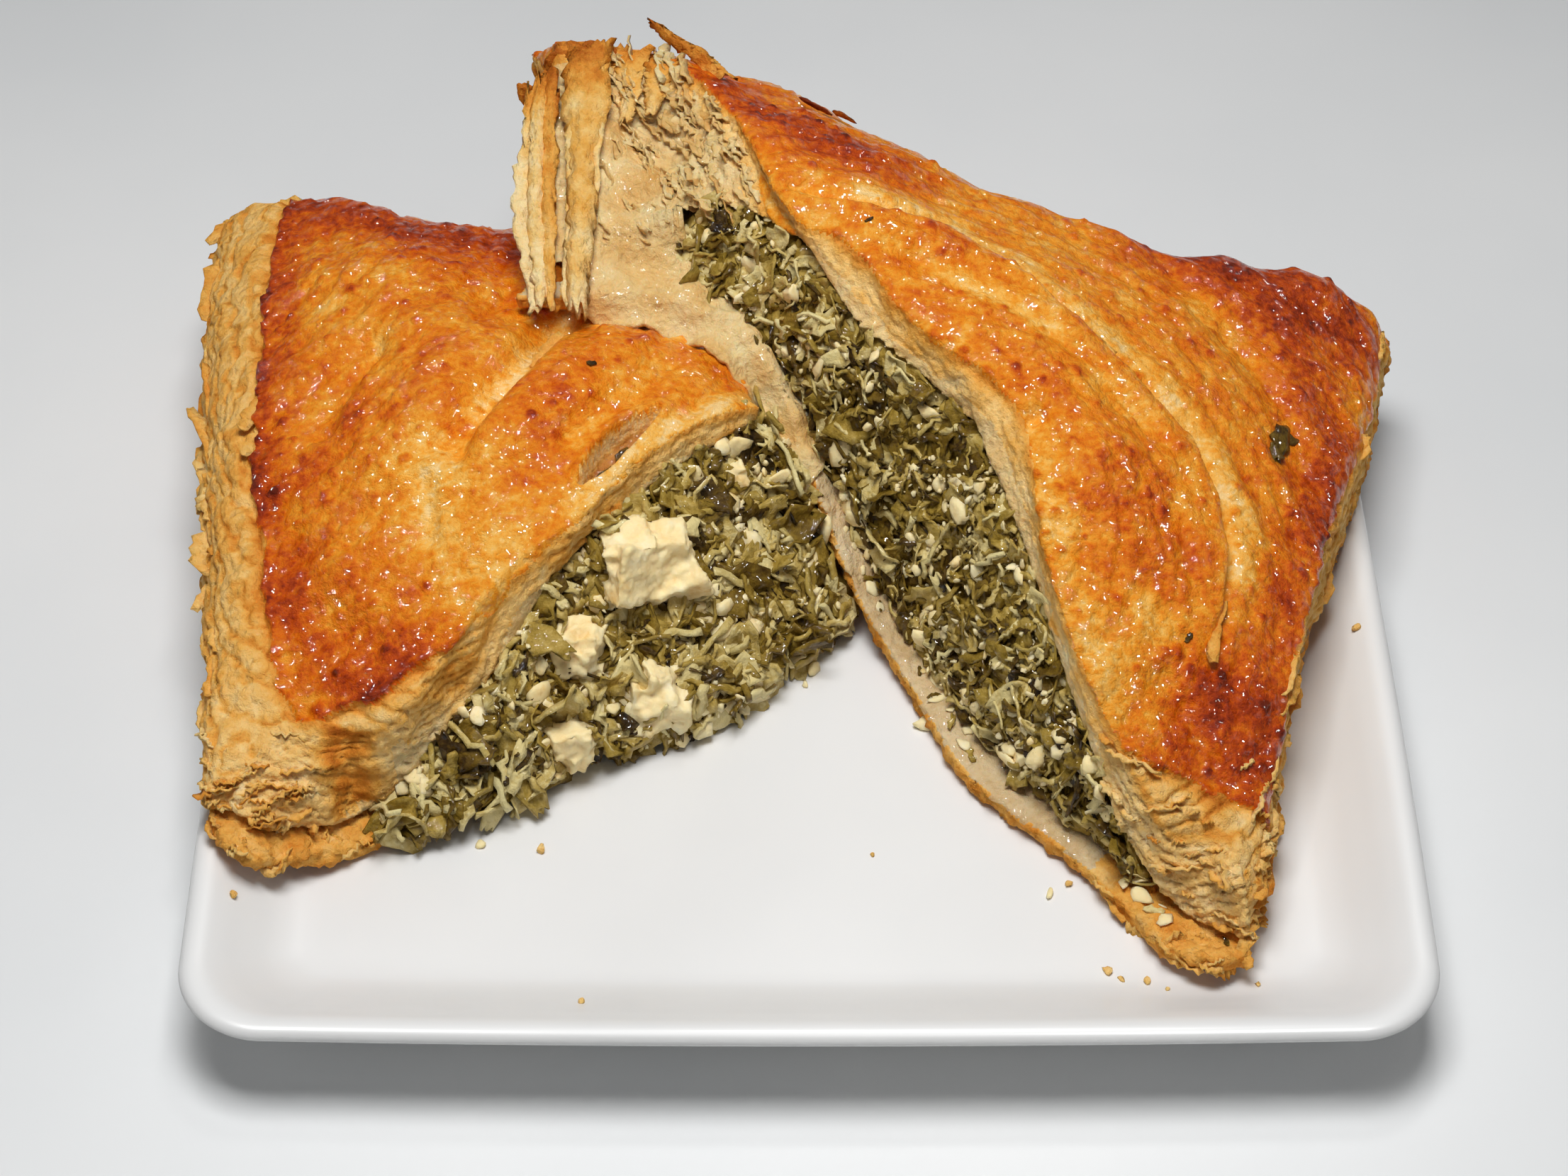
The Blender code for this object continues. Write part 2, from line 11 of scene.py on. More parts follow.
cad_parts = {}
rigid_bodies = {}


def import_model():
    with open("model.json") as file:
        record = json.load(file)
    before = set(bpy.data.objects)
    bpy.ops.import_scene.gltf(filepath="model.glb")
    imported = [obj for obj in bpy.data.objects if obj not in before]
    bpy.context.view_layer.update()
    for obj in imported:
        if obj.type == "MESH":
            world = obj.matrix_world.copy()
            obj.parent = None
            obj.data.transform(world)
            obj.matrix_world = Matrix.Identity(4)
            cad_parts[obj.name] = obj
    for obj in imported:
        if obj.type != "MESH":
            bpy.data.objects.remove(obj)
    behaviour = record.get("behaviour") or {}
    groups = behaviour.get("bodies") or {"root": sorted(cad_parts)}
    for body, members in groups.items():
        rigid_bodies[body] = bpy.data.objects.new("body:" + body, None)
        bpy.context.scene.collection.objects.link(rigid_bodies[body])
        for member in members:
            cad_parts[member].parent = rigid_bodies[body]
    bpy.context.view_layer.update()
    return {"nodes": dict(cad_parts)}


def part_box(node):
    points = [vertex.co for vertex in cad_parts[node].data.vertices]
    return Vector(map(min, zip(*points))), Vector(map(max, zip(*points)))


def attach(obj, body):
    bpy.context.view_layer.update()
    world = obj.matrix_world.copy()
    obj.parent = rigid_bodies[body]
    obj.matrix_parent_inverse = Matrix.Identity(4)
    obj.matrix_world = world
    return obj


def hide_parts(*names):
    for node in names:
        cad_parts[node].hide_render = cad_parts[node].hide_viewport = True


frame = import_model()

# Spanakopita pie: spinach and feta in egg-washed puff pastry, cut in two on a white plate.
# Points are worked out in millimetres, and become metres when a mesh is made.
mm = 0.001
scene = bpy.context.scene
fineness = {"crust": 0.58, "sheet": 0.7, "filling": 0.8, "feta": 0.42}  # size of a piece's small faces, in mm


# Shape helpers

def smoothStep(values, start, stop):
    t = np.clip((values - start) / (stop - start), 0.0, 1.0)
    return t * t * (3 - 2 * t)


def cornerSlopes(cells, seed):  # a fixed slope for each corner of a grid of cells
    mixed = cells[:, 0] * 73856093 ^ cells[:, 1] * 19349663 ^ cells[:, 2] * 83492791 ^ (seed + 7) * 2654435761
    mixed = (mixed ^ (mixed >> 13)) * 1274126177 & 0xFFFFFFFF
    mixed = (mixed ^ (mixed >> 16)) * 2246822519 & 0xFFFFFFFF
    return np.stack([(mixed >> shift & 1023) / 511.5 - 1.0 for shift in (0, 10, 20)], axis=1)


def lumps(points, size, seed=0):  # smooth random field from about -1 to 1, its lumps size mm across
    cells = np.asarray(points, float) / size
    base = np.floor(cells).astype(np.int64)
    part = cells - base
    ease = part ** 3 * (part * (part * 6 - 15) + 10)
    total = np.zeros(len(cells))
    for corner in np.ndindex(2, 2, 2):
        weight = np.prod(np.where(corner, ease, 1 - ease), axis=1)
        total += weight * (cornerSlopes(base + corner, seed) * (part - corner)).sum(axis=1)
    return total * 1.5


def roughness(points, size, octaves, seed=0):  # lumps with finer and finer lumps on them
    return sum(lumps(points, size / 2 ** k, seed + k) / 1.8 ** k for k in range(octaves))


def beside(places, line):  # distance to a line in plan, on which side (left is positive), and how far along
    places = places[:, :2]
    line = np.array(line, float)
    runs = np.linalg.norm(np.diff(line, axis=0), axis=1)
    starts = np.concatenate([[0.0], np.cumsum(runs)])
    nearest = np.full(len(places), 1e9)
    side = np.ones(len(places))
    along = np.zeros(len(places))
    for k, run in enumerate(runs):
        way = (line[k + 1] - line[k]) / run
        offset = places - line[k]
        share = np.clip(offset @ way, 0.0, run)
        gap = offset - share[:, None] * way
        away = np.linalg.norm(gap, axis=1)
        closer = away < nearest
        nearest[closer] = away[closer]
        side[closer] = np.sign(way[0] * offset[closer, 1] - way[1] * offset[closer, 0])
        along[closer] = (starts[k] + share[closer]) / starts[-1]
    return nearest, side, along


def planAway(points, place):  # distance from a place, seen from above
    return np.linalg.norm(points[:, :2] - np.array(place), axis=1)


def hitBelow(tree, x, y, start=130.0):  # what a line straight down from this height meets first
    return tree.ray_cast(Vector((x, y, start)), Vector((0, 0, -1)))


def smoothLine(knots, count):  # the same number of points all along a curve through the knots
    knots = np.array(knots, float)
    runs = np.linalg.norm(np.diff(knots, axis=0), axis=1)
    at = np.concatenate([[0.0], np.cumsum(runs)]) / runs.sum()
    slopes = np.gradient(knots, at, axis=0)
    line = []
    for t in np.linspace(0.0, 1.0, count):
        k = min(int(np.searchsorted(at, t, side="right")) - 1, len(at) - 2)
        step = at[k + 1] - at[k]
        x = (t - at[k]) / step
        start = knots[k] * (1 + 2 * x) * (1 - x) ** 2 + slopes[k] * step * x * (1 - x) ** 2
        line.append(start + knots[k + 1] * x * x * (3 - 2 * x) + slopes[k + 1] * step * x * x * (x - 1))
    return np.array(line)


def readMesh(mesh):  # points and normals in mm, and the faces
    points = np.zeros(len(mesh.vertices) * 3)
    mesh.vertices.foreach_get("co", points)
    normals = np.zeros(len(mesh.vertices) * 3)
    mesh.vertex_normals.foreach_get("vector", normals)
    return points.reshape(-1, 3) / mm, normals.reshape(-1, 3)


def surfaceTree(mesh):
    points, _ = readMesh(mesh)
    return BVHTree.FromPolygons(points.tolist(), [tuple(face.vertices) for face in mesh.polygons])


def pointFinder(points):
    finder = KDTree(len(points))
    for k, point in enumerate(points):
        finder.insert(point, k)
    finder.balance()
    return finder


def roundedCopy(nodeName, voxel, crease):  # a CAD node's form with its facets rounded, in small even faces
    mesh = frame["nodes"][nodeName].data.copy()
    work = bmesh.new()
    work.from_mesh(mesh)
    bmesh.ops.remove_doubles(work, verts=work.verts, dist=0.02 * mm)
    bmesh.ops.join_triangles(work, faces=work.faces, angle_face_threshold=0.6, angle_shape_threshold=1.4)
    keep = work.edges.layers.float.new("crease_edge")
    for edge in work.edges:
        if len(edge.link_faces) == 2 and edge.calc_face_angle() > math.radians(48):
            edge[keep] = crease
    work.to_mesh(mesh)
    work.free()
    return evenMesh(mesh, voxel, 2)


def newObject(name, data):
    item = bpy.data.objects.new(name, data)
    scene.collection.objects.link(item)
    return item


def applied(item):  # a plain mesh with what the modifiers make
    return bpy.data.meshes.new_from_object(item.evaluated_get(bpy.context.evaluated_depsgraph_get()))


def smoothFaces(mesh):
    mesh.polygons.foreach_set("use_smooth", np.ones(len(mesh.polygons), bool))


def evenMesh(mesh, voxel, rounding=0):  # the same form in small even faces, all parts of it joined
    shape = newObject("evenBase", mesh)
    if rounding:
        smooth = shape.modifiers.new("rounding", "SUBSURF")
        smooth.levels = smooth.render_levels = rounding
    even = shape.modifiers.new("even", "REMESH")
    even.mode = "VOXEL"
    even.voxel_size = voxel * mm
    fine = applied(shape)
    bpy.data.objects.remove(shape)
    return fine


def relax(mesh, rounds):  # evens out the steps that small even faces leave
    points, _ = readMesh(mesh)
    edges = np.zeros(len(mesh.edges) * 2, np.int64)
    mesh.edges.foreach_get("vertices", edges)
    edges = edges.reshape(-1, 2)
    ends = np.concatenate([edges[:, 0], edges[:, 1]])
    others = np.concatenate([edges[:, 1], edges[:, 0]])
    count = np.bincount(ends, minlength=len(points))[:, None]
    for turn in range(rounds):
        pull = 0.5 if turn % 2 == 0 else -0.52
        middle = np.stack([np.bincount(ends, points[others, axis], len(points)) for axis in range(3)], axis=1)
        points = points + (middle / count - points) * pull
    writePoints(mesh, points)


def writePoints(mesh, points):
    mesh.vertices.foreach_set("co", (np.asarray(points) * mm).ravel())
    mesh.update()


def storeValues(mesh, name, values):
    attribute = mesh.attributes.new(name, "FLOAT", "POINT")
    attribute.data.foreach_set("value", np.asarray(values, np.float32))


def faceMeans(mesh, values):  # mean over each face's corners
    loops = np.zeros(len(mesh.loops), np.int64)
    mesh.loops.foreach_get("vertex_index", loops)
    starts = np.zeros(len(mesh.polygons), np.int64)
    mesh.polygons.foreach_get("loop_start", starts)
    totals = np.add.reduceat(np.asarray(values, float)[loops], starts)
    sizes = np.diff(np.append(starts, len(loops)))
    return totals / sizes


def thinOut(piece, hidden):  # fewer faces on the points that nobody sees
    group = piece.vertex_groups.new(name="hidden")
    group.add(np.flatnonzero(hidden).tolist(), 1.0, "REPLACE")
    fewer = piece.modifiers.new("fewer", "DECIMATE")
    fewer.ratio = 1.0 - 0.85 * float(np.mean(hidden))
    fewer.vertex_group = group.name
    fewer.use_collapse_triangulate = True
    bare = applied(piece)
    piece.modifiers.remove(fewer)
    piece.vertex_groups.remove(group)
    piece.data = bare


def makePiece(name, mesh, finishes, replaced=()):
    piece = newObject(name, mesh)
    mesh.materials.clear()
    for finish in finishes:
        mesh.materials.append(finish)
    smoothFaces(mesh)
    declare(piece, replaced)
    return piece


def declare(piece, replaced=()):
    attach(piece, "root")
    if replaced:
        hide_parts(*replaced)


def meshFrom(name, points, faces):
    mesh = bpy.data.meshes.new(name)
    mesh.from_pydata((np.asarray(points, float) * mm).tolist(), [], faces)
    mesh.update()
    return mesh


# Material helpers

def linearColour(code):
    channels = [int(code[i:i + 2], 16) / 255 for i in (1, 3, 5)]
    return [c / 12.92 if c <= 0.04045 else ((c + 0.055) / 1.055) ** 2.4 for c in channels] + [1.0]


def addNode(tree, kind, inputs=None, stops=None, **settings):
    node = tree.nodes.new(kind)
    for name, value in settings.items():
        setattr(node, name, value)
    for name, value in (inputs or {}).items():
        if isinstance(value, bpy.types.NodeSocket):
            tree.links.new(value, node.inputs[name])
        else:
            node.inputs[name].default_value = value
    for k, (place, code) in enumerate(stops or ()):
        stop = node.color_ramp.elements[k] if k < 2 else node.color_ramp.elements.new(place)
        stop.position = place
        stop.color = linearColour(code)
    return node


def newMaterial(name):
    material = bpy.data.materials.new(name)
    material.use_nodes = True
    tree = material.node_tree
    shader = tree.nodes["Principled BSDF"]
    place = addNode(tree, "ShaderNodeTexCoord").outputs["Object"]
    return material, tree, shader, place


def noiseOf(size):  # texture scale for lumps of a size in mm
    return 1 / (size * mm)


def speckledColour(tree, place, look):  # a stored value and two sizes of speckle pick the colour
    level = addNode(tree, "ShaderNodeAttribute", attribute_name=look["value"]).outputs["Fac"]
    speckles = []
    for size, detail, roughLevel, distortion, amount in look["speckles"]:
        noise = addNode(tree, "ShaderNodeTexNoise", {
            "Vector": place, "Scale": noiseOf(size), "Detail": detail, "Roughness": roughLevel,
            "Distortion": distortion}).outputs["Fac"]
        level = addNode(tree, "ShaderNodeMath", {0: noise, 1: amount, 2: level},
                        operation="MULTIPLY_ADD").outputs[0]
        speckles.append(noise)
    level = addNode(tree, "ShaderNodeMath", {0: level, 1: look["lighter"]}, operation="SUBTRACT").outputs[0]
    return addNode(tree, "ShaderNodeValToRGB", {"Fac": level}, stops=look["steps"]).outputs["Color"], speckles


def film(tree, place, size, depth):  # egg wash, oil or steam lying in smooth shallow waves
    waves = addNode(tree, "ShaderNodeTexNoise", {"Vector": place, "Scale": noiseOf(size), "Detail": 0.0})
    return addNode(tree, "ShaderNodeBump", {"Height": waves.outputs["Fac"], "Distance": depth * mm,
                                            "Strength": 1.0}).outputs[0]


def finishShader(tree, shader, linked, numbers):
    for name, value in linked.items():
        tree.links.new(value, shader.inputs[name])
    for name, value in numbers.items():
        shader.inputs[name].default_value = value


skinLook = {
    "value": "bake", "lighter": 0.71,
    # (size in mm, detail, roughness, distortion, amount)
    "speckles": [(1.5, 4.0, 0.66, 0.0, 0.8), (5.0, 4.0, 0.6, 0.5, 0.6)],
    "steps": [(0.0, "#f6cf8a"), (1.0, "#641b02"), (0.14, "#f4b855"), (0.3, "#ed9a28"), (0.44, "#e48012"),
              (0.57, "#d76707"), (0.7, "#c04a03"), (0.84, "#9b3103")],
}


def bakedCrust():  # puff pastry skin brushed with egg: amber varnish over gold to mahogany
    material, tree, shader, place = newMaterial("egg washed pastry skin")
    colour, (speckle, mottled) = speckledColour(tree, place, skinLook)
    bubbles = addNode(tree, "ShaderNodeTexVoronoi", {"Vector": place, "Scale": noiseOf(1.9), "Smoothness": 1.0},
                      feature="SMOOTH_F1").outputs["Distance"]
    gloss = addNode(tree, "ShaderNodeMapRange", {"Value": mottled, "From Min": 0.3, "From Max": 0.7,
                                                 "To Min": 0.4, "To Max": 0.55}).outputs["Result"]
    grain = addNode(tree, "ShaderNodeBump", {"Height": speckle, "Distance": 1.0 * mm,
                                             "Strength": 0.9}).outputs[0]
    varnish = addNode(tree, "ShaderNodeBump", {"Height": bubbles, "Distance": 1.3 * mm, "Strength": 1.0,
                                               "Normal": film(tree, place, 2.6, 2.4)}, invert=True).outputs[0]
    finishShader(tree, shader,
                 {"Base Color": colour, "Roughness": gloss, "Normal": grain, "Coat Normal": varnish},
                 {"Specular IOR Level": 0.04, "Coat Weight": 0.65, "Coat Roughness": 0.02, "Coat IOR": 1.48})
    return material


def flakyCrumb(name, steps, roughLevel, bumpDepth, glow, wetness=0.0):  # unglazed dough, baked or steamed
    material, tree, shader, place = newMaterial(name)
    colour, (speckle, _) = speckledColour(tree, place, {
        "value": "bake", "lighter": 0.42, "steps": steps,
        "speckles": [(1.3, 4.0, 0.7, 0.0, 0.4), (5.0, 3.0, 0.6, 0.0, 0.5)]})
    pores = addNode(tree, "ShaderNodeTexVoronoi", {"Vector": place, "Scale": noiseOf(1.5)}).outputs["Distance"]
    grain = addNode(tree, "ShaderNodeBump", {"Height": speckle, "Distance": bumpDepth * mm,
                                             "Strength": 0.9}).outputs[0]
    crumbly = addNode(tree, "ShaderNodeBump", {"Height": pores, "Distance": bumpDepth * 0.7 * mm,
                                               "Strength": 0.5, "Normal": grain}).outputs[0]
    finishShader(tree, shader,
                 {"Base Color": colour, "Normal": crumbly, "Coat Normal": film(tree, place, 2.4, 2.0)},
                 {"Roughness": roughLevel, "Specular IOR Level": 0.08, "Coat Weight": wetness,
                  "Coat Roughness": 0.05, "Subsurface Weight": glow, "Subsurface Radius": (1.0, 0.5, 0.2),
                  "Subsurface Scale": 1.4 * mm})
    return material


def wetGreens(name, steps):  # cooked spinach: dark, limp and shiny, with curd smeared over it
    material, tree, shader, place = newMaterial(name)
    colour, (veins, _) = speckledColour(tree, place, {
        "value": "tone", "lighter": 0.53, "steps": steps,
        "speckles": [(1.3, 4.0, 0.65, 0.0, 0.7), (6.0, 3.0, 0.5, 0.6, 0.6)]})
    bumps = addNode(tree, "ShaderNodeBump", {"Height": veins, "Distance": 0.8 * mm, "Strength": 0.7}).outputs[0]
    finishShader(tree, shader,
                 {"Base Color": colour, "Normal": bumps, "Coat Normal": film(tree, place, 1.8, 1.6)},
                 {"Roughness": 0.5, "Specular IOR Level": 0.05, "Coat Weight": 0.5, "Coat Roughness": 0.06})
    return material


def brinedCheese():  # feta: chalky curd, creamy with oil and steam from the filling
    material, tree, shader, place = newMaterial("brined cheese")
    stain = addNode(tree, "ShaderNodeTexNoise", {"Vector": place, "Scale": noiseOf(5.0), "Detail": 4.0,
                                                 "Roughness": 0.65}).outputs["Fac"]
    curd = addNode(tree, "ShaderNodeTexNoise", {"Vector": place, "Scale": noiseOf(0.9),
                                                "Detail": 3.0}).outputs["Fac"]
    colour = addNode(tree, "ShaderNodeValToRGB", {"Fac": stain}, stops=[
        (0.28, "#ebc47c"), (0.8, "#fcf0cf"), (0.4, "#f7dca2"), (0.56, "#f9e4b0")]).outputs["Color"]
    bumps = addNode(tree, "ShaderNodeBump", {"Height": curd, "Distance": 0.3 * mm, "Strength": 0.6}).outputs[0]
    finishShader(tree, shader, {"Base Color": colour, "Normal": bumps},
                 {"Roughness": 0.45, "Specular IOR Level": 0.1, "Subsurface Weight": 0.35,
                  "Subsurface Radius": (1.0, 0.8, 0.5), "Subsurface Scale": 1.6 * mm})
    return material


def evenGlaze(name, size, detail, stops, ripple, numbers):  # a nearly even colour that clouds a little
    material, tree, shader, place = newMaterial(name)
    cloud = addNode(tree, "ShaderNodeTexNoise", {"Vector": place, "Scale": noiseOf(size), "Detail": detail})
    colour = addNode(tree, "ShaderNodeValToRGB", {"Fac": cloud.outputs["Fac"]}, stops=stops).outputs["Color"]
    linked = {"Base Color": colour}
    if ripple:
        linked["Coat Normal"] = addNode(tree, "ShaderNodeBump", {
            "Height": cloud.outputs["Fac"], "Distance": ripple[0] * mm, "Strength": ripple[1]}).outputs[0]
    finishShader(tree, shader, linked, numbers)
    return material


drySteps = [(0.0, "#f8dca4"), (1.0, "#722a06"), (0.18, "#f4c87c"), (0.38, "#eaac50"), (0.56, "#da8c30"),
            (0.76, "#b46014")]
moistSteps = [(0.0, "#edd8a4"), (1.0, "#a25f1e"), (0.3, "#e6be7c"), (0.6, "#d0994c")]
paleSteps = [(0.0, "#ead8b4"), (1.0, "#8e5c26"), (0.3, "#d8bd90"), (0.6, "#bd935a")]
greenSteps = [(0.0, "#1b1003"), (1.0, "#ddcb8e"), (0.14, "#3f2b0a"), (0.3, "#634b14"), (0.46, "#826822"),
              (0.6, "#9d8235"), (0.74, "#b4984c"), (0.88, "#c9b069")]
stemSteps = [(0.0, "#7a6020"), (1.0, "#e4d59a"), (0.5, "#b49a4c")]
finishes = {
    "skin": bakedCrust(),
    "crumb": flakyCrumb("dry pastry layers", drySteps, 0.6, 0.9, 0.15),
    "dough": flakyCrumb("steamed pastry dough", moistSteps, 0.5, 0.8, 0.25, 0.35),
    "sheet": flakyCrumb("moist lower pastry", paleSteps, 0.5, 0.8, 0.25, 0.2),
    "greens": wetGreens("cooked spinach", greenSteps),
    "stems": wetGreens("cooked spinach stems", stemSteps),
    "cheese": brinedCheese(),
    # white body under a clear glaze that pooled a little unevenly
    "porcelain": evenGlaze("glazed porcelain", 40.0, 2.0, [(0.3, "#e2e2e1"), (0.7, "#e8e8e7")], (0.4, 0.3),
                           {"Roughness": 0.5, "Coat Weight": 0.5, "Coat Roughness": 0.25}),
    # matt painted board that keeps the shadow soft
    "table": evenGlaze("pale table", 160.0, 4.0, [(0.35, "#e2e4e5"), (0.65, "#ebecec")], None,
                       {"Roughness": 0.5}),
}


# Plate

plateSizes = {
    "cornerRadius": 13.0,
    "bow": 1.3,  # how far each side swells out at its middle
    # (inset from the lip, height) from the recess under the foot over the lip to the well
    "profile": [(27.5, 4.0), (26.6, 0.6), (26.2, 0.0), (22.4, 0.0), (20.5, 1.4), (14.0, 6.6), (7.0, 11.9),
                (2.4, 14.7), (0.6, 15.9), (0.0, 17.1), (0.5, 18.0), (1.8, 18.4), (3.2, 18.2), (5.4, 16.9),
                (9.0, 14.0), (13.0, 11.1), (16.0, 9.9), (19.0, 9.6)],
}


def plateRing(inset, height, low, high):
    centre = (low + high) / 2
    halfX, halfY = (high - low)[:2] / 2 - inset - plateSizes["bow"]
    radius = max(plateSizes["cornerRadius"] - 0.45 * inset, 4.0)
    ring = []
    for quarter, (sx, sy) in enumerate([(1, 1), (-1, 1), (-1, -1), (1, -1)]):
        for angle in np.radians(90 * quarter + np.linspace(0, 90, 17)):
            ring.append((sx * (halfX - radius) + radius * math.cos(angle),
                         sy * (halfY - radius) + radius * math.sin(angle)))
        for share in np.linspace(0.9, -0.9, 19):
            if quarter % 2 == 0:
                ring.append((sx * (halfX - radius) * share, sy * halfY))
            else:
                ring.append((sx * halfX, sy * (halfY - radius) * share))
    ring = np.array(ring)
    swell = plateSizes["bow"]
    x, y = ring.T
    xOut = x + swell * np.sign(x) * (1 - (y / halfY) ** 2) * (np.abs(x) / halfX) ** 4
    yOut = y + swell * np.sign(y) * (1 - (x / halfX) ** 2) * (np.abs(y) / halfY) ** 4
    return np.stack([xOut + centre[0], yOut + centre[1], np.full(len(x), height)], axis=1)


def makePlate():
    low, high = (np.array(corner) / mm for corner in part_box("plate"))
    rings = [plateRing(inset, height, low, high) for inset, height in smoothLine(plateSizes["profile"], 72)]
    count = len(rings[0])
    points = np.concatenate(rings)
    faces = [list(range(count))[::-1], list(range(len(points) - count, len(points)))]
    for ring in range(len(rings) - 1):
        for k in range(count):
            after = (k + 1) % count
            faces.append([ring * count + k, ring * count + after, (ring + 1) * count + after,
                          (ring + 1) * count + k])
    makePiece("glazedPlate", meshFrom("glazedPlate", points, faces), [finishes["porcelain"]],
              ["plate"])


makePlate()
print("plate made")


# Crusts

# Lines and places are (x, y) in mm, seen from above.
# Creases are (line, depth, steep reach, gentle reach), with the steep side on the left of the line's
# direction. A negative depth makes a ledge instead, whose right side stands higher.
# Toasted, bleached and browned stretches are (line, reach, how much darker or paler).
# Blisters are (place, spread, how many), swells (place, reach, rise), torn corners (place, reach) and
# hollows (place, reach, depth). The slit is (line, half its width, depth).
rightCrust = {
    "node": "right_upper_pastry",
    "cutFacing": (-0.82, -0.57),
    "cutEdge": [(71, -76), (64, -63), (58, -63), (49.6, -53.8), (43.7, -44), (38.2, -26.5), (35, -1), (17, 16),
                (8, 30), (-2, 36), (-8.7, 54.8), (-24, 78), (-42, 84), (-60, 88)],
    "glazeEdge": [(40, -50), (50, -54), (60, -57), (84, -60)],
    "bulge": 1.35,
    "creases": [
        ([(-7, 43), (4, 39.5), (14, 38), (24, 36.5), (36, 30), (49, 17), (58, 8), (64, 1), (68, -10),
          (68.5, -20), (67, -30), (63, -40)], -2.4, 2.0, 6.0),
        ([(60, 50), (69, 38), (75, 29), (80, 20), (83.5, 9), (86, -2)], 1.6, 2.5, 4.0),
        ([(12, 30), (21, 27), (31, 22), (41, 14.5), (49, 7), (55, 0), (59, -8)], 1.0, 3.0, 3.0),
        ([(27, 0), (33, -4), (37, -3.5), (40, -1)], 1.8, 1.2, 2.4),
        ([(55, -40), (60, -46), (66, -56), (70, -62)], 1.2, 2.0, 3.5),
    ],
    "toasted": [
        ([(-14, 72), (-5, 62), (4, 57), (12, 55)], 8, 0.42),
        ([(66, 50), (80, 47), (94, 46), (98, 40)], 9, 0.42),
        ([(84, 36), (88, 22), (90, 8), (88, -4)], 8, 0.36),
        ([(87, -4), (84, -14), (79, -26), (76, -36)], 6, 0.22),
        ([(64, -43), (70, -44), (74, -50)], 7, 0.42),
        ([(63, -54), (68, -58)], 6, 0.3),
        ([(16, 29), (29, 20), (40, 8), (50, -4), (56, -15), (58, -26)], 6, 0.1),
        ([(38, -13), (45, -18), (47, -26), (42, -30)], 6, 0.12),
        ([(30, 10), (36, 5)], 4, 0.12),
    ],
    "bleached": [
        ([(12, 41), (24, 40), (37, 33), (50, 21), (60, 11), (66, 2), (71, -10), (71, -22)], 3.0, 0.26),
        ([(12, 31), (21, 27.5), (31, 22.5), (41, 15.5)], 2.2, 0.2),
        ([(30, -2), (36, -8), (40, -20), (44, -34), (48, -46)], 4.0, 0.2),
        ([(52, -34), (60, -36), (66, -32)], 4, 0.12),
    ],
    "blisters": [((42, -22), 11, 60), ((30, 8), 12, 30), ((56, -14), 10, 24), ((84, 28), 14, 40),
                 ((0, 60), 12, 40), ((62, 30), 14, 34), ((80, -16), 12, 30), ((66, -46), 10, 26),
                 ((20, 34), 12, 26), ((52, -40), 10, 20)],
    "swells": [((53, 53), 6, 1.6), ((74, 52), 5, 1.5), ((93, 48), 5, 1.6), ((20, 58), 7, 1.0),
               ((38, 54), 6, 0.8), ((34, 8), 12, 1.6), ((50, -12), 11, 1.4), ((62, -46), 8, 1.2),
               ((12, 24), 7, 0.8)],
    "swirlCentre": (18, -22),
    "torn": [((-26, 66), 22), ((64, -66), 18)],
    "tornBake": -0.1,
    "hollows": [((-24, 60), 15, 4.5), ((-29, 50), 10, 2.0)],
    "hollowBake": 0.0,
    "browned": [([(-50, 84), (-42, 82), (-36, 81), (-30, 79.5), (-23, 76), (-15, 72), (-9, 66)], 3.4, 0.36)],
}
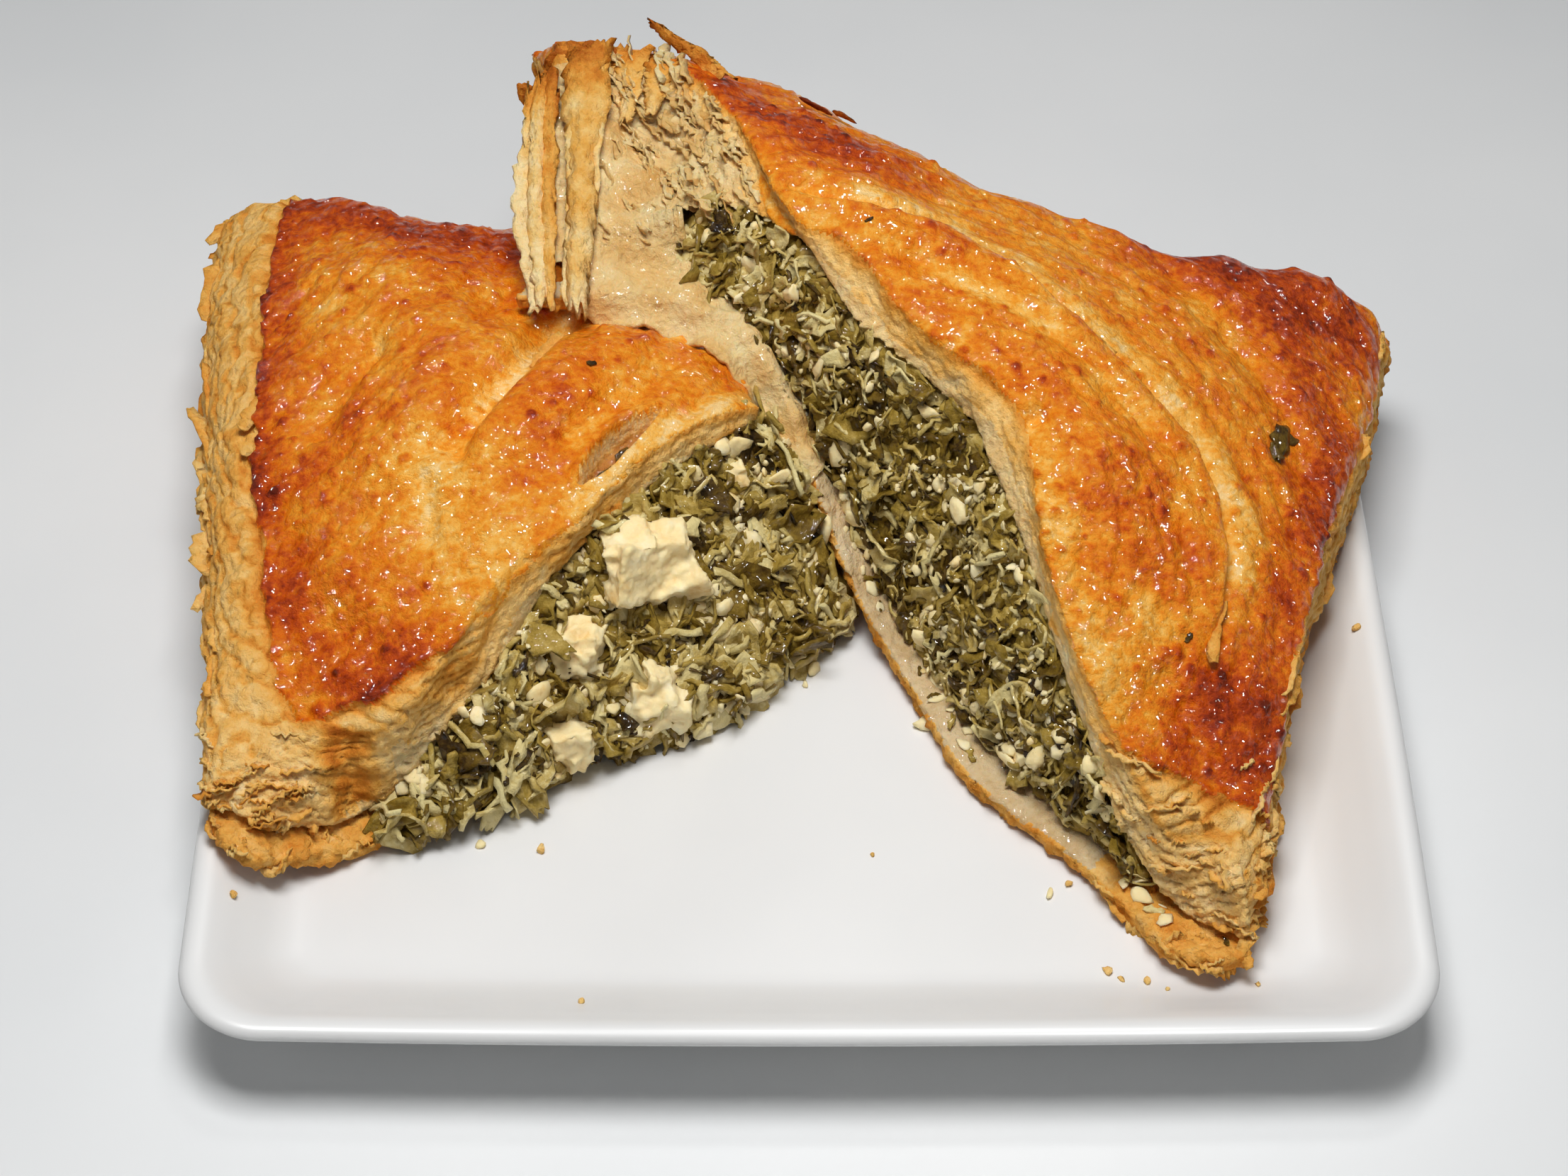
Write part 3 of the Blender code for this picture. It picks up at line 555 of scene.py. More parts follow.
leftCrust = {
    "node": "left_upper_pastry",
    "cutFacing": (0.64, -0.77),
    "cutEdge": [(8, 24), (-6, 13), (-22, 0), (-34, -15.5), (-45, -25.5), (-54, -38), (-66, -46), (-78, -43),
                (-92, -60)],
    "glazeEdge": [(-93, 90), (-92, 76), (-93, 64), (-92, 37), (-91, 18), (-90, 4), (-87, -14), (-84, -30),
                  (-80, -41), (-77, -43.5), (-71, -42), (-63, -40.5), (-56, -36.5), (-46, -33)],
    "bulge": 1.35,
    "creases": [
        ([(-37, 37), (-41, 28), (-45, 18), (-51, 7.5), (-54.5, 0), (-56, -7)], 4.2, 1.8, 5.0),
        ([(-70, 30), (-71.5, 24), (-76, 15), (-80, 5)], 1.9, 1.8, 4.0),
        ([(-60.5, -4), (-59.5, -12), (-58, -20)], 1.2, 1.8, 3.0),
        ([(-20, 24), (-26, 14), (-33, 6), (-40, -2)], 1.4, 4.0, 3.0),
        ([(-86, -2), (-80, -18), (-72, -30), (-62, -36)], 1.2, 3.0, 4.0),
    ],
    "toasted": [
        ([(-90, 71), (-79, 68), (-66, 60), (-50, 56)], 8, 0.42),
        ([(-91, 60), (-90, 40), (-89, 20), (-88, 0), (-84, -14)], 5, 0.26),
        ([(-80, -24), (-72, -33), (-64, -38)], 8, 0.36),
        ([(-72, 22), (-76, 10), (-79, 0)], 5, 0.14),
        ([(-58, 34), (-62, 20), (-64, 10)], 8, 0.08),
        ([(-34, 24), (-36, 12), (-40, 2)], 7, 0.1),
    ],
    "bleached": [
        ([(-39, 36), (-43, 27), (-47, 17), (-53, 7)], 2.0, 0.3),
        ([(-60, -2), (-58, -12), (-54, -22), (-46, -24)], 6, 0.16),
        ([(-35, -12), (-29, -5), (-20, 4), (-11, 12), (-3, 18)], 3.2, 0.26),
    ],
    "blisters": [((-84, 40), 14, 40), ((-66, 50), 16, 50), ((-80, -4), 12, 26), ((-44, 8), 12, 30),
                 ((-24, 26), 14, 34), ((-70, -34), 10, 20), ((-58, 10), 16, 26)],
    "swells": [((-34, 24), 8, 1.8), ((-40, 12), 8, 2.0), ((-47, 0), 7, 1.8), ((-14, 26), 8, 1.4),
               ((-24, 18), 6, 0.8), ((-76, 44), 12, 1.4), ((-62, 8), 8, 1.2), ((-72, -20), 9, 1.4),
               ((-66, -34), 7, 1.2)],
    "slit": ([(-34.5, -7.5), (-32.5, -4.5), (-30, -0.5), (-27, 3.5), (-23, 8)], 2.3, 5.0),
    "swirlCentre": (-110, 60),
    "torn": [((-58, -38), 10), ((-84, -52), 18)],
    "tornBake": -0.1,
    "hollows": [((-71, -48), 6, 3.4)],
    "hollowBake": 0.42,
    "browned": [],
}
crustSizes = {
    "wallLayer": 1.9,  # from one layer of dough to the next, on the walls and on the cut
    "cutLayer": 1.7,
    "leastCrumbling": 0.42,  # how rough the cut is away from the torn corners, where it is 1
}


def crustRegions(spec, points, normals):  # how much each point belongs to skin, wall, cut and inside
    inside = smoothStep(-normals[:, 2], 0.12, 0.4)
    away, side, _ = beside(points, smoothLine(spec["cutEdge"], 90))
    beyond = away * side + 0.5 * lumps(points, 3, 11)
    towards = normals[:, :2] @ np.array(spec["cutFacing"])
    cut = (1 - inside) * smoothStep(beyond + 0.8 * (towards - 0.5), -0.5, 0.3)
    glazeAway, glazeSide, _ = beside(points, smoothLine(spec["glazeEdge"], 60))
    ragged = 1.3 * lumps(points, 7, 12) + 1.0 * lumps(points, 2.6, 13)
    glazed = smoothStep(glazeAway * glazeSide + ragged, -0.3, 0.3)
    skin = (1 - inside) * (1 - cut) * smoothStep(normals[:, 2], 0.12, 0.3) * glazed
    wall = np.clip(1 - inside - skin - cut, 0.0, 1.0)
    return skin, wall, cut, inside, glazeAway


def blisterHeights(spec, points, skin, seed):  # round bubbles under the skin, most of them in clusters
    rng = np.random.default_rng(seed)
    finder = pointFinder(points)
    onSkin = np.flatnonzero(skin > 0.8)
    plan = pointFinder(points[onSkin] * (1, 1, 0))
    height = np.zeros(len(points))
    centres = [rng.normal(centre, reach * 0.5, (count, 2)) for centre, reach, count in spec["blisters"]]
    centres.append(points[rng.choice(onSkin, 150), :2])
    for x, y in np.concatenate(centres):
        _, index, _ = plan.find((x, y, 0.0))
        radius = 0.45 + 0.75 * rng.random() ** 2.2
        rise = radius * rng.uniform(0.4, 0.75)
        for _, k, away in finder.find_range(points[onSkin[index]], radius * 1.5):
            t = away / (radius * 1.5)
            height[k] = max(height[k], rise * (1 - t * t) ** 2)
    return height


def layered(points, heights, spacing, seed):  # each layer of the dough ends at its own place
    level = heights / spacing + 1.1 * lumps(points, 18, seed) + 0.7 * lumps(points, 6, seed + 1)
    level += 0.35 * lumps(points, 2.2, seed + 6)
    step = np.floor(level)
    part = level - step
    spread = np.stack([points[:, 0] / 6, points[:, 1] / 6, step * 3.7], axis=1)
    proud = lumps(spread, 1.0, seed + 2) + 0.7 * lumps(spread * 2.4, 1.0, seed + 3)
    groove = np.minimum(part, 1 - part) * 2
    return proud, smoothStep(groove, 0.0, 0.45)


def fromCutEdge(spec, points, tree):  # distance of each point from the upper edge of the cut
    rim = []
    for x, y in smoothLine(spec["cutEdge"][1:-1], 200):
        inner = Vector((x, y)) - Vector(spec["cutFacing"]) * 0.8
        found = hitBelow(tree, inner.x, inner.y, 120.0)[0]
        rim.append((x, y, found.z if found else 0.0))
    finder = pointFinder(rim)
    return np.array([finder.find(point)[2] for point in points])


def strokes(points, lines):  # the sum of soft stretches along lines
    total = np.zeros(len(points))
    for line, reach, amount in lines:
        away, _, _ = beside(points, line)
        total += amount * np.exp(-(away / reach) ** 2)
    return total


def pressedCreases(spec, points):  # how far the creases move the skin, and how deep in one each point lies
    depth, dips = np.zeros(len(points)), np.zeros(len(points))
    for line, deep, steep, gentle in spec["creases"]:
        away, side, along = beside(points, line)
        ends = smoothStep(np.minimum(along, 1 - along), 0.0, 0.14)
        dip = np.exp(-(away / np.where(side > 0, steep, gentle)) ** 2) * ends
        if deep < 0:
            lift = np.where(side > 0, -0.35, 1.0) * dip * smoothStep(away, 0.0, 0.9)
            depth -= deep * 0.6 * (lift - 0.3 * ends * np.exp(-(away / 1.0) ** 2))
            depth -= 0.9 * np.exp(-(away / 2.4) ** 2) * ends * (side > 0)
        else:
            depth -= deep * dip
            dips += dip
    return depth, dips


def tornSlit(spec, points, seed):  # a gap torn in the skin, with the pale inside of the pastry showing
    if "slit" not in spec:
        return np.zeros(len(points)), 0.0
    line, half, deep = spec["slit"]
    away, _, along = beside(points + 0.5 * lumps(points, 2.5, seed + 12)[:, None], smoothLine(line, 20))
    half = half * np.sqrt(np.sin(np.pi * np.clip(along, 0.02, 0.98)))
    slit = smoothStep(half - away, -0.6, 0.9)
    return slit, 0.7 * np.exp(-((away - half - 0.8) / 1.2) ** 2) - deep * slit


def skinSurface(spec, points, skin, lip, seed):  # how far the skin moves out, how brown it is with painted shade deep in the slit, where it is slit
    depth, dips = pressedCreases(spec, points)
    bake = 0.41 + 0.1 * lumps(points, 17, seed) + 0.12 * lumps(points, 6.5, seed + 1) - 0.08 * dips
    bake += 0.88 * strokes(points + 1.6 * lumps(points, 5, seed + 5)[:, None], spec["toasted"])
    bake -= strokes(points + 0.8 * lumps(points, 4, seed + 6)[:, None], spec["bleached"])
    slit, opened = tornSlit(spec, points, seed)
    depth += opened
    for place, reach, rise in spec["swells"]:
        depth += rise * np.exp(-(planAway(points, place) / reach) ** 2)
    offset = points[:, :2] - np.array(spec["swirlCentre"])
    turn = np.arctan2(offset[:, 1], offset[:, 0])
    swirl = np.stack([np.linalg.norm(offset, axis=1) / 3.2, turn * 3.4, np.zeros(len(points))], axis=1)
    strain = lumps(swirl, 1.0, seed + 8) + 0.5 * lumps(swirl * 2.2, 1.0, seed + 9)
    waves = 0.7 * lumps(points, 13, seed + 10) + 0.45 * strain + 0.22 * roughness(points, 3.6, 2, seed + 11)
    bubbles = blisterHeights(spec, points, skin, seed)
    depth += spec["bulge"] * waves + bubbles + 0.5 * lip
    bake += 0.05 * waves + 0.26 * smoothStep(bubbles, 0.15, 0.6) - 0.05 * strain + 0.16 * lip
    # In the slit the pale pastry turns darker towards the bottom of the gap: painted shade.
    return depth, np.where(slit > 0.3, 0.1 + 0.75 * smoothStep(slit, 0.75, 0.95), bake), slit


def wallSurface(points, lip, crumbling, seed):  # ends of the dough's layers
    proud, groove = layered(points, points[:, 2], crustSizes["wallLayer"], seed + 20)
    shape = 0.65 * proud + 0.5 * (groove - 0.6) + 0.35 * roughness(points, 3.0, 2, seed + 24)
    shape += 0.8 * lumps(points, 7, seed + 26) - 0.9 * lip
    height = points[:, 2] - points[:, 2].min()
    bake = 0.36 + 0.12 * proud + 0.12 * lumps(points, 9, seed + 50) + 0.12 * smoothStep(proud, 0.4, 1.2)
    bake -= 0.12 * (crumbling - crustSizes["leastCrumbling"])
    # Painted shade: the wall is darker down in the grooves between the layers, with a painted shadow along the
    # undercut strip just under the skin's overhanging lip. It is paler over the lowest 9 mm.
    bake += 0.2 * lip - 0.1 * smoothStep(9.0 - height, 0.0, 8.0) + 0.2 * (0.6 - groove)
    return shape, bake


def cutSurface(spec, points, edge, crumbling, seed):  # the broken face between the skin and the filling
    proud, groove = layered(points, edge, crustSizes["cutLayer"], seed + 30)
    shape = crumbling * (0.7 * proud + 0.6 * (groove - 0.6)) + 0.22 * roughness(points, 2.0, 3, seed + 34)
    shape += crumbling * (0.5 * lumps(points, 4.5, seed + 36) + 0.4 * roughness(points, 1.9, 2, seed + 37))
    sunk = np.zeros(len(points))
    for centre, reach, hollow in spec["hollows"]:
        away = planAway(points, centre) + 1.6 * lumps(points, 4, seed + 38)
        shape -= hollow * smoothStep(-away, -reach, 0.0)
        sunk = np.maximum(sunk, smoothStep(-away, -reach, -reach * 0.4))
    bake = 0.19 + 0.36 * np.exp(-(edge / 1.5) ** 2) + 0.08 * proud + 0.08 * lumps(points, 6, seed + 51)
    bake += spec["tornBake"] * (crumbling - crustSizes["leastCrumbling"])
    bake += spec["hollowBake"] * sunk * (0.8 + 0.6 * lumps(points, 3, seed + 53))
    return shape, bake


def makeCrust(spec, name, seed):
    mesh = roundedCopy(spec["node"], fineness["crust"], 0.8)
    relax(mesh, 10)
    points, normals = readMesh(mesh)
    skin, wall, cut, inside, glazeAway = crustRegions(spec, points, normals)
    lip = np.exp(-(glazeAway / 1.3) ** 2)
    tornAway = [planAway(points, place) - reach for place, reach in spec["torn"]]
    least = crustSizes["leastCrumbling"]
    crumbling = least + (1 - least) * (1 - smoothStep(np.min(tornAway, 0), -3.0, 4.0))
    edge = fromCutEdge(spec, points, surfaceTree(mesh))
    skinShape, skinBakeAndShade, slit = skinSurface(spec, points, skin, lip, seed)
    wallShape, wallBakeAndShade = wallSurface(points, lip, crumbling, seed)
    cutShape, cutBake = cutSurface(spec, points, edge, crumbling, seed)
    shift = skin * skinShape + wall * wallShape + cut * cutShape + inside * 0.2 * lumps(points, 4, seed + 40)
    writePoints(mesh, points + normals * shift[:, None])
    browned = strokes(points + 1.2 * lumps(points, 3, seed + 7)[:, None], spec["browned"])
    storeValues(mesh, "bake",
                skin * skinBakeAndShade + wall * (wallBakeAndShade + browned) + cut * (cutBake + browned) + inside * 0.2)
    moist = smoothStep(edge + 1.0 * lumps(points, 4, seed + 52), 4.2, 5.8) * smoothStep(tornAway[-1], 0.0, 6.0)
    onSkin = faceMeans(mesh, skin * (slit < 0.3))
    onDough = faceMeans(mesh, cut * moist + inside + slit)
    piece = makePiece(name, mesh, [finishes["skin"], finishes["crumb"], finishes["dough"]],
                      [spec["node"]])
    kinds = np.where(onSkin > 0.5, 0, np.where(onDough > 0.5, 2, 1))
    mesh.polygons.foreach_set("material_index", kinds.astype(np.int32))
    thinOut(piece, inside > 0.9)
    print(name, "made:", len(piece.data.polygons), "faces")


makeCrust(rightCrust, "rightCrust", 3)
makeCrust(leftCrust, "leftCrust", 103)


# Lower pastry

# Each sheet crumbles at its front tip, within the tip's reach of that place.
sheets = {
    "rightSheet": {"node": "right_lower_pastry", "tip": (64, -76), "tipReach": 26, "seed": 201},
    "leftSheet": {"node": "left_lower_pastry", "tip": (-84, -56), "tipReach": 24, "seed": 231},
}
sheetSizes = {"rimLayer": 1.1, "tipLayer": 2.2}  # from one layer of dough to the next


def makeSheet(name, node, tip, tipReach, seed):
    mesh = roundedCopy(node, fineness["sheet"], 0.8)
    relax(mesh, 6)
    points, normals = readMesh(mesh)
    side = 1 - smoothStep(np.abs(normals[:, 2]), 0.35, 0.7)
    proud, groove = layered(points, points[:, 2], sheetSizes["rimLayer"], seed)
    shape = side * (0.8 * proud + 0.5 * (groove - 0.6) + 0.3 * roughness(points, 1.8, 2, seed + 4))
    shape += (1 - side) * (0.45 * roughness(points, 6.0, 3, seed + 6) - 0.2)
    tipAway = planAway(points, tip) + 3 * lumps(points, 6, seed)
    crumbly = 1 - smoothStep(tipAway, tipReach - 5, tipReach)
    crumbly *= (1 - side) * (normals[:, 2] > 0)
    flaked, gaps = layered(points, points @ np.array([0.4, 0.9, 0.3]), sheetSizes["tipLayer"], seed + 12)
    shape += crumbly * (0.5 * flaked + 0.7 * (gaps - 0.5) + 0.6 * roughness(points, 3.0, 3, seed + 14))
    writePoints(mesh, points + normals * shape[:, None])
    bake = 0.27 + side * (0.15 + 0.14 * proud) + 0.12 * lumps(points, 7, seed + 8)
    bake += 0.3 * smoothStep(-normals[:, 2], 0.2, 0.8) + crumbly * (0.1 + 0.12 * flaked)
    storeValues(mesh, "bake", bake)
    piece = makePiece(name, mesh, [finishes["sheet"], finishes["crumb"]], [node])
    under = smoothStep(-normals[:, 2], 0.2, 0.6)
    rim = faceMeans(mesh, side + crumbly + under + 0.3 * lumps(points, 3, seed + 9))
    mesh.polygons.foreach_set("material_index", (rim > 0.5).astype(np.int32))
    thinOut(piece, normals[:, 2] < -0.8)


for name, spec in sheets.items():
    makeSheet(name, **spec)
print("sheets made")


# Filling

fillingSizes = {
    "relief": 1.0,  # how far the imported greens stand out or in
    "hollowEnd": (-12.0, 10.0, 5.5),  # right half: from this x the filling sinks over a run by a depth
    "runout": 3.5,  # left half: how far the filling spills forward at its thin end
    # left half: where the greens are banked up against the cut crust, with their heights
    "bank": [(-7, 17, 38), (-15, 7, 42.5), (-22, 1, 43.5), (-27, -4, 43), (-32, -12, 41), (-37, -17, 36.5),
             (-41, -21, 34), (-47, -28, 31.5), (-55, -36, 28), (-62, -42, 20)],
}


def makeFilling(nodeName, name, seed):
    mesh = roundedCopy(nodeName, fineness["filling"], 0.4)
    relax(mesh, 4)
    points, normals = readMesh(mesh)
    clumps = 1 - 2 * np.abs(lumps(points, 6.5, seed)) + 0.7 * (1 - 2 * np.abs(lumps(points, 3.2, seed + 1)))
    shape = -1.6 + fillingSizes["relief"] * (clumps + 0.4 * lumps(points, 1.9, seed + 2))
    cut = rightCrust["cutEdge"] if nodeName == "right_filling" else leftCrust["cutEdge"]
    away, side, _ = beside(points, smoothLine(cut, 60))
    moved = points + normals * shape[:, None]
    if nodeName == "right_filling":
        start, run, depth = fillingSizes["hollowEnd"]
        moved[:, 2] -= depth * smoothStep(start - moved[:, 0], 0.0, run)
    else:
        runout = fillingSizes["runout"] * smoothStep(-moved[:, 0], 34.0, 52.0)
        moved[:, :2] += runout[:, None] * np.array(leftCrust["cutFacing"])
        bank = smoothLine(fillingSizes["bank"], 60)
        gap, way, along = beside(moved, bank[:, :2])
        crest = np.interp(along, np.linspace(0, 1, 60), bank[:, 2])
        raised = crest - 1.1 * np.maximum(gap * way - 0.5, 0) - 2.0 * np.maximum(-gap * way - 3.0, 0)
        raised = raised + 0.8 * clumps
        above = smoothStep(normals[:, 2], 0.0, 0.4) * smoothStep(np.minimum(along, 1 - along), 0.0, 0.06)
        moved[:, 2] += above * np.maximum(raised - moved[:, 2], 0)
    writePoints(mesh, moved)
    # The tone rises with the clumps, so their raised tops are lighter and the hollows between them darker:
    # painted shade, over a random patchy tone.
    storeValues(mesh, "tone", 0.3 + 0.16 * clumps + 0.3 * smoothStep(lumps(points, 5, seed + 5), 0.1, 0.6))
    piece = makePiece(name, mesh, [finishes["greens"]], [nodeName])
    thinOut(piece, (away * side < -7) | (normals[:, 2] < -0.7))
    return piece


rightHeap = makeFilling("right_filling", "rightFilling", 301)
leftHeap = makeFilling("left_filling", "leftFilling", 331)
print("filling made")


# Chopped greens, cheese crumbs and flakes

def thinSolid(grid, thickness):  # closed leaf of the given thickness over a grid of points
    rows, columns = grid.shape[:2]
    alongRows = np.gradient(grid, axis=0)
    alongColumns = np.gradient(grid, axis=1)
    normals = np.cross(alongRows, alongColumns)
    normals /= np.maximum(np.linalg.norm(normals, axis=2, keepdims=True), 1e-9)
    half = normals * thickness / 2
    points = np.concatenate([(grid + half).reshape(-1, 3), (grid - half).reshape(-1, 3)])
    under = rows * columns
    faces = []
    for i in range(rows - 1):
        for j in range(columns - 1):
            a, b = i * columns + j, (i + 1) * columns + j
            faces.append([a, b, b + 1, a + 1])
            faces.append([under + a + 1, under + b + 1, under + b, under + a])
    rim = [(0, j) for j in range(columns - 1)] + [(i, columns - 1) for i in range(rows - 1)]
    rim += [(rows - 1, j) for j in range(columns - 1, 0, -1)] + [(i, 0) for i in range(rows - 1, 0, -1)]
    loop = [i * columns + j for i, j in rim]
    for k, first in enumerate(loop):
        after = loop[(k + 1) % len(loop)]
        faces.append([first, after, under + after, under + first])
    return points, faces


def joined(parts):  # several sets of points and faces as one
    points, faces, start = [], [], 0
    for somePoints, someFaces in parts:
        points.append(somePoints)
        faces += [[corner + start for corner in face] for face in someFaces]
        start += len(somePoints)
    return np.concatenate(points), faces


def scrap(length, width, fold, rng):  # limp crumpled piece of cooked leaf
    rows, columns = 7, 5
    grid = np.zeros((rows, columns, 3))
    for i, u in enumerate(np.linspace(-1, 1, rows)):
        girth = rng.uniform(0.55, 1.1) * (1 - 0.6 * abs(u) ** 3)
        shift = rng.normal(0, 0.08 * width)
        for j, v in enumerate(np.linspace(-1, 1, columns)):
            grid[i, j] = (u * length / 2 * rng.uniform(0.9, 1.08), v * width / 2 * girth + shift,
                          fold * width * abs(v) ** 1.5 + 0.05 * length * math.sin(2.4 * u + v))
    flat = grid.reshape(-1, 3) + rng.uniform(0, 500, 3)
    creased = 0.5 - np.abs(lumps(flat, 3.0, 5)) * 2 + 0.5 * lumps(flat, 1.6, 6)
    grid[:, :, 2] += (0.17 * width * creased).reshape(rows, columns)
    return thinSolid(grid, 0.34)


def ribbon(length, width, twist, bend, rng):  # strand of leaf or stem, twisted along its length
    rows = 9
    grid = np.zeros((rows, 2, 3))
    for i, u in enumerate(np.linspace(-1, 1, rows)):
        turn = twist * u + rng.normal(0, 0.15)
        half = width / 2 * rng.uniform(0.7, 1.15)
        middle = (u * length / 2, bend * length * (u * u - 0.4) + rng.normal(0, 0.04 * length),
                  0.08 * length * math.cos(2.2 * u + twist))
        for j, v in enumerate((-1, 1)):
            grid[i, j] = (middle[0], middle[1] + v * half * math.cos(turn),
                          middle[2] + v * half * math.sin(turn))
    return thinSolid(grid, min(0.5, width * 0.6))


def lump(radius, rng, rounds, flatness=1.0):  # broken crumb with a few flat sides
    work = bmesh.new()
    bmesh.ops.create_icosphere(work, subdivisions=rounds, radius=1.0)
    points = np.array([vert.co for vert in work.verts])
    faces = [[vert.index for vert in face.verts] for face in work.faces]
    work.free()
    for _ in range(7):
        way = rng.normal(size=3)
        way /= np.linalg.norm(way)
        points -= np.maximum(points @ way - rng.uniform(0.45, 0.85), 0)[:, None] * way
    points *= (1 + 0.09 * rng.standard_normal(len(points)))[:, None]
    stretch = (rng.uniform(0.8, 1.5), rng.uniform(0.7, 1.1), rng.uniform(0.6, 1.0) * flatness)
    return points * stretch * radius, faces


def bitCollection(name, shapes):
    bits = bpy.data.collections.new(name)
    scene.collection.children.link(bits)
    for k, (points, faces) in enumerate(shapes):
        mesh = meshFrom(f"{name}{k:02d}", points, faces)
        smoothFaces(mesh)
        bits.objects.link(bpy.data.objects.new(f"{name}{k:02d}", mesh))
    return bits


def scatterTree(name, bits, finish):  # lays bits on a surface, turned and sized at random
    tree = bpy.data.node_groups.new(name, "GeometryNodeTree")
    for label, kind in [("Surface", "NodeSocketGeometry"), ("Spacing", "NodeSocketFloat"),
                        ("Smallest", "NodeSocketFloat"), ("Largest", "NodeSocketFloat"),
                        ("Tilt", "NodeSocketFloat"), ("Sunk", "NodeSocketFloat"), ("Proud", "NodeSocketFloat"),
                        ("Seed", "NodeSocketInt")]:
        tree.interface.new_socket(name=label, in_out="INPUT", socket_type=kind)
    tree.interface.new_socket(name="Bits", in_out="OUTPUT", socket_type="NodeSocketGeometry")
    entry = addNode(tree, "NodeGroupInput").outputs
    amount = addNode(tree, "GeometryNodeInputNamedAttribute", {"Name": "scatter"}, data_type="FLOAT")
    spread = addNode(tree, "GeometryNodeDistributePointsOnFaces", {
        "Mesh": entry["Surface"], "Distance Min": entry["Spacing"], "Density Max": 4e6,
        "Density Factor": amount.outputs["Attribute"], "Seed": entry["Seed"]}, distribute_method="POISSON")
    height = addNode(tree, "FunctionNodeRandomValue", {2: entry["Sunk"], 3: entry["Proud"], "Seed": 5},
                     data_type="FLOAT").outputs[1]
    push = addNode(tree, "ShaderNodeVectorMath", {0: spread.outputs["Normal"], "Scale": height},
                   operation="SCALE").outputs[0]
    placed = addNode(tree, "GeometryNodeSetPosition", {"Geometry": spread.outputs["Points"], "Offset": push})
    tiltDown = addNode(tree, "ShaderNodeMath", {0: entry["Tilt"], 1: -1.0}, operation="MULTIPLY").outputs[0]
    lowest = addNode(tree, "ShaderNodeCombineXYZ", {0: tiltDown, 1: tiltDown, 2: -math.pi}).outputs[0]
    highest = addNode(tree, "ShaderNodeCombineXYZ", {0: entry["Tilt"], 1: entry["Tilt"], 2: math.pi}).outputs[0]
    turn = addNode(tree, "FunctionNodeRandomValue", {0: lowest, 1: highest, "Seed": 7},
                   data_type="FLOAT_VECTOR").outputs[0]
    facing = addNode(tree, "FunctionNodeRotateRotation", {"Rotation": spread.outputs["Rotation"],
                                                          "Rotate By": turn}, rotation_space="LOCAL")
    size = addNode(tree, "FunctionNodeRandomValue", {2: entry["Smallest"], 3: entry["Largest"], "Seed": 9},
                   data_type="FLOAT").outputs[1]
    shapes = addNode(tree, "GeometryNodeCollectionInfo", {"Collection": bits, "Separate Children": True,
                                                          "Reset Children": True})
    coarse = addNode(tree, "GeometryNodeInputNamedAttribute", {"Name": "coarse"}, data_type="FLOAT")
    size = addNode(tree, "ShaderNodeMath", {0: size, 1: coarse.outputs["Attribute"]},
                   operation="MULTIPLY").outputs[0]
    laid = addNode(tree, "GeometryNodeInstanceOnPoints", {
        "Points": placed.outputs["Geometry"], "Instance": shapes.outputs["Instances"], "Pick Instance": True,
        "Rotation": facing.outputs["Rotation"], "Scale": size})
    shade = addNode(tree, "FunctionNodeRandomValue", {2: 0.0, 3: 0.96, "Seed": 11},
                    data_type="FLOAT").outputs[1]
    toned = addNode(tree, "GeometryNodeStoreNamedAttribute", {
        "Geometry": laid.outputs["Instances"], "Name": "tone", "Value": shade}, data_type="FLOAT",
        domain="INSTANCE")
    real = addNode(tree, "GeometryNodeRealizeInstances", {"Geometry": toned.outputs["Geometry"]})
    finished = addNode(tree, "GeometryNodeSetMaterial", {"Geometry": real.outputs["Geometry"],
                                                         "Material": finish})
    addNode(tree, "NodeGroupOutput", {"Bits": finished.outputs["Geometry"]})
    return tree


def scatterMesh(name, surface, bits, finish, sizes):  # the scattered bits as one plain mesh
    tree = scatterTree(name, bits, finish)
    holder = newObject(name + "Surface", surface)
    modifier = holder.modifiers.new("scatter", "NODES")
    modifier.node_group = tree
    for socket in tree.interface.items_tree:
        if socket.in_out == "INPUT" and socket.name in sizes:
            modifier[socket.identifier] = sizes[socket.name]
    mesh = applied(holder)
    holder.modifiers.remove(modifier)
    bpy.data.objects.remove(holder)
    return mesh


def dropBits(bits):
    for item in list(bits.objects):
        bpy.data.objects.remove(item)
    bpy.data.collections.remove(bits)


pastryTrees = [surfaceTree(frame["nodes"][name].data) for name in (
    "right_upper_pastry", "left_upper_pastry", "right_lower_pastry", "left_lower_pastry")]


def openness(points, normals, facing):  # 1 where nothing lies in front of the cut face
    clear = np.zeros(len(points))
    way = Vector((facing[0] * 0.7, facing[1] * 0.7, 0.75)).normalized()
    for k in range(len(points)):
        if normals[k, :2] @ np.array(facing) * 0.8 + normals[k, 2] * 0.6 < 0.0:
            continue
        start = Vector(points[k] + normals[k] * 0.8)
        if all(tree.ray_cast(start, way, 40.0)[0] is None for tree in pastryTrees):
            clear[k] = 1.0
    return clear


def openSurface(name, sources):  # the open faces of several pieces, as the ground for scattering
    ground = bmesh.new()
    scatter = ground.verts.layers.float.new("scatter")
    coarse = ground.verts.layers.float.new("coarse")
    for piece, crust, keep, coarseness in sources:
        points, normals = readMesh(piece.data)
        away, side, _ = beside(points, smoothLine(crust["cutEdge"], 60))
        clear = openness(points, normals, crust["cutFacing"]) * keep(points) * (away * side > -3.0)
        verts = [ground.verts.new(point * mm) for point in points]
        for vert, amount in zip(verts, clear):
            vert[scatter] = amount
            vert[coarse] = coarseness
        for face in piece.data.polygons:
            if all(clear[k] > 0 for k in face.vertices):
                ground.faces.new([verts[k] for k in face.vertices])
    loose = [vert for vert in ground.verts if not vert.link_faces]
    bmesh.ops.delete(ground, geom=loose, context="VERTS")
    mesh = bpy.data.meshes.new(name)
    ground.to_mesh(mesh)
    ground.free()
    return mesh


def everywhere(points):
    return np.ones(len(points))


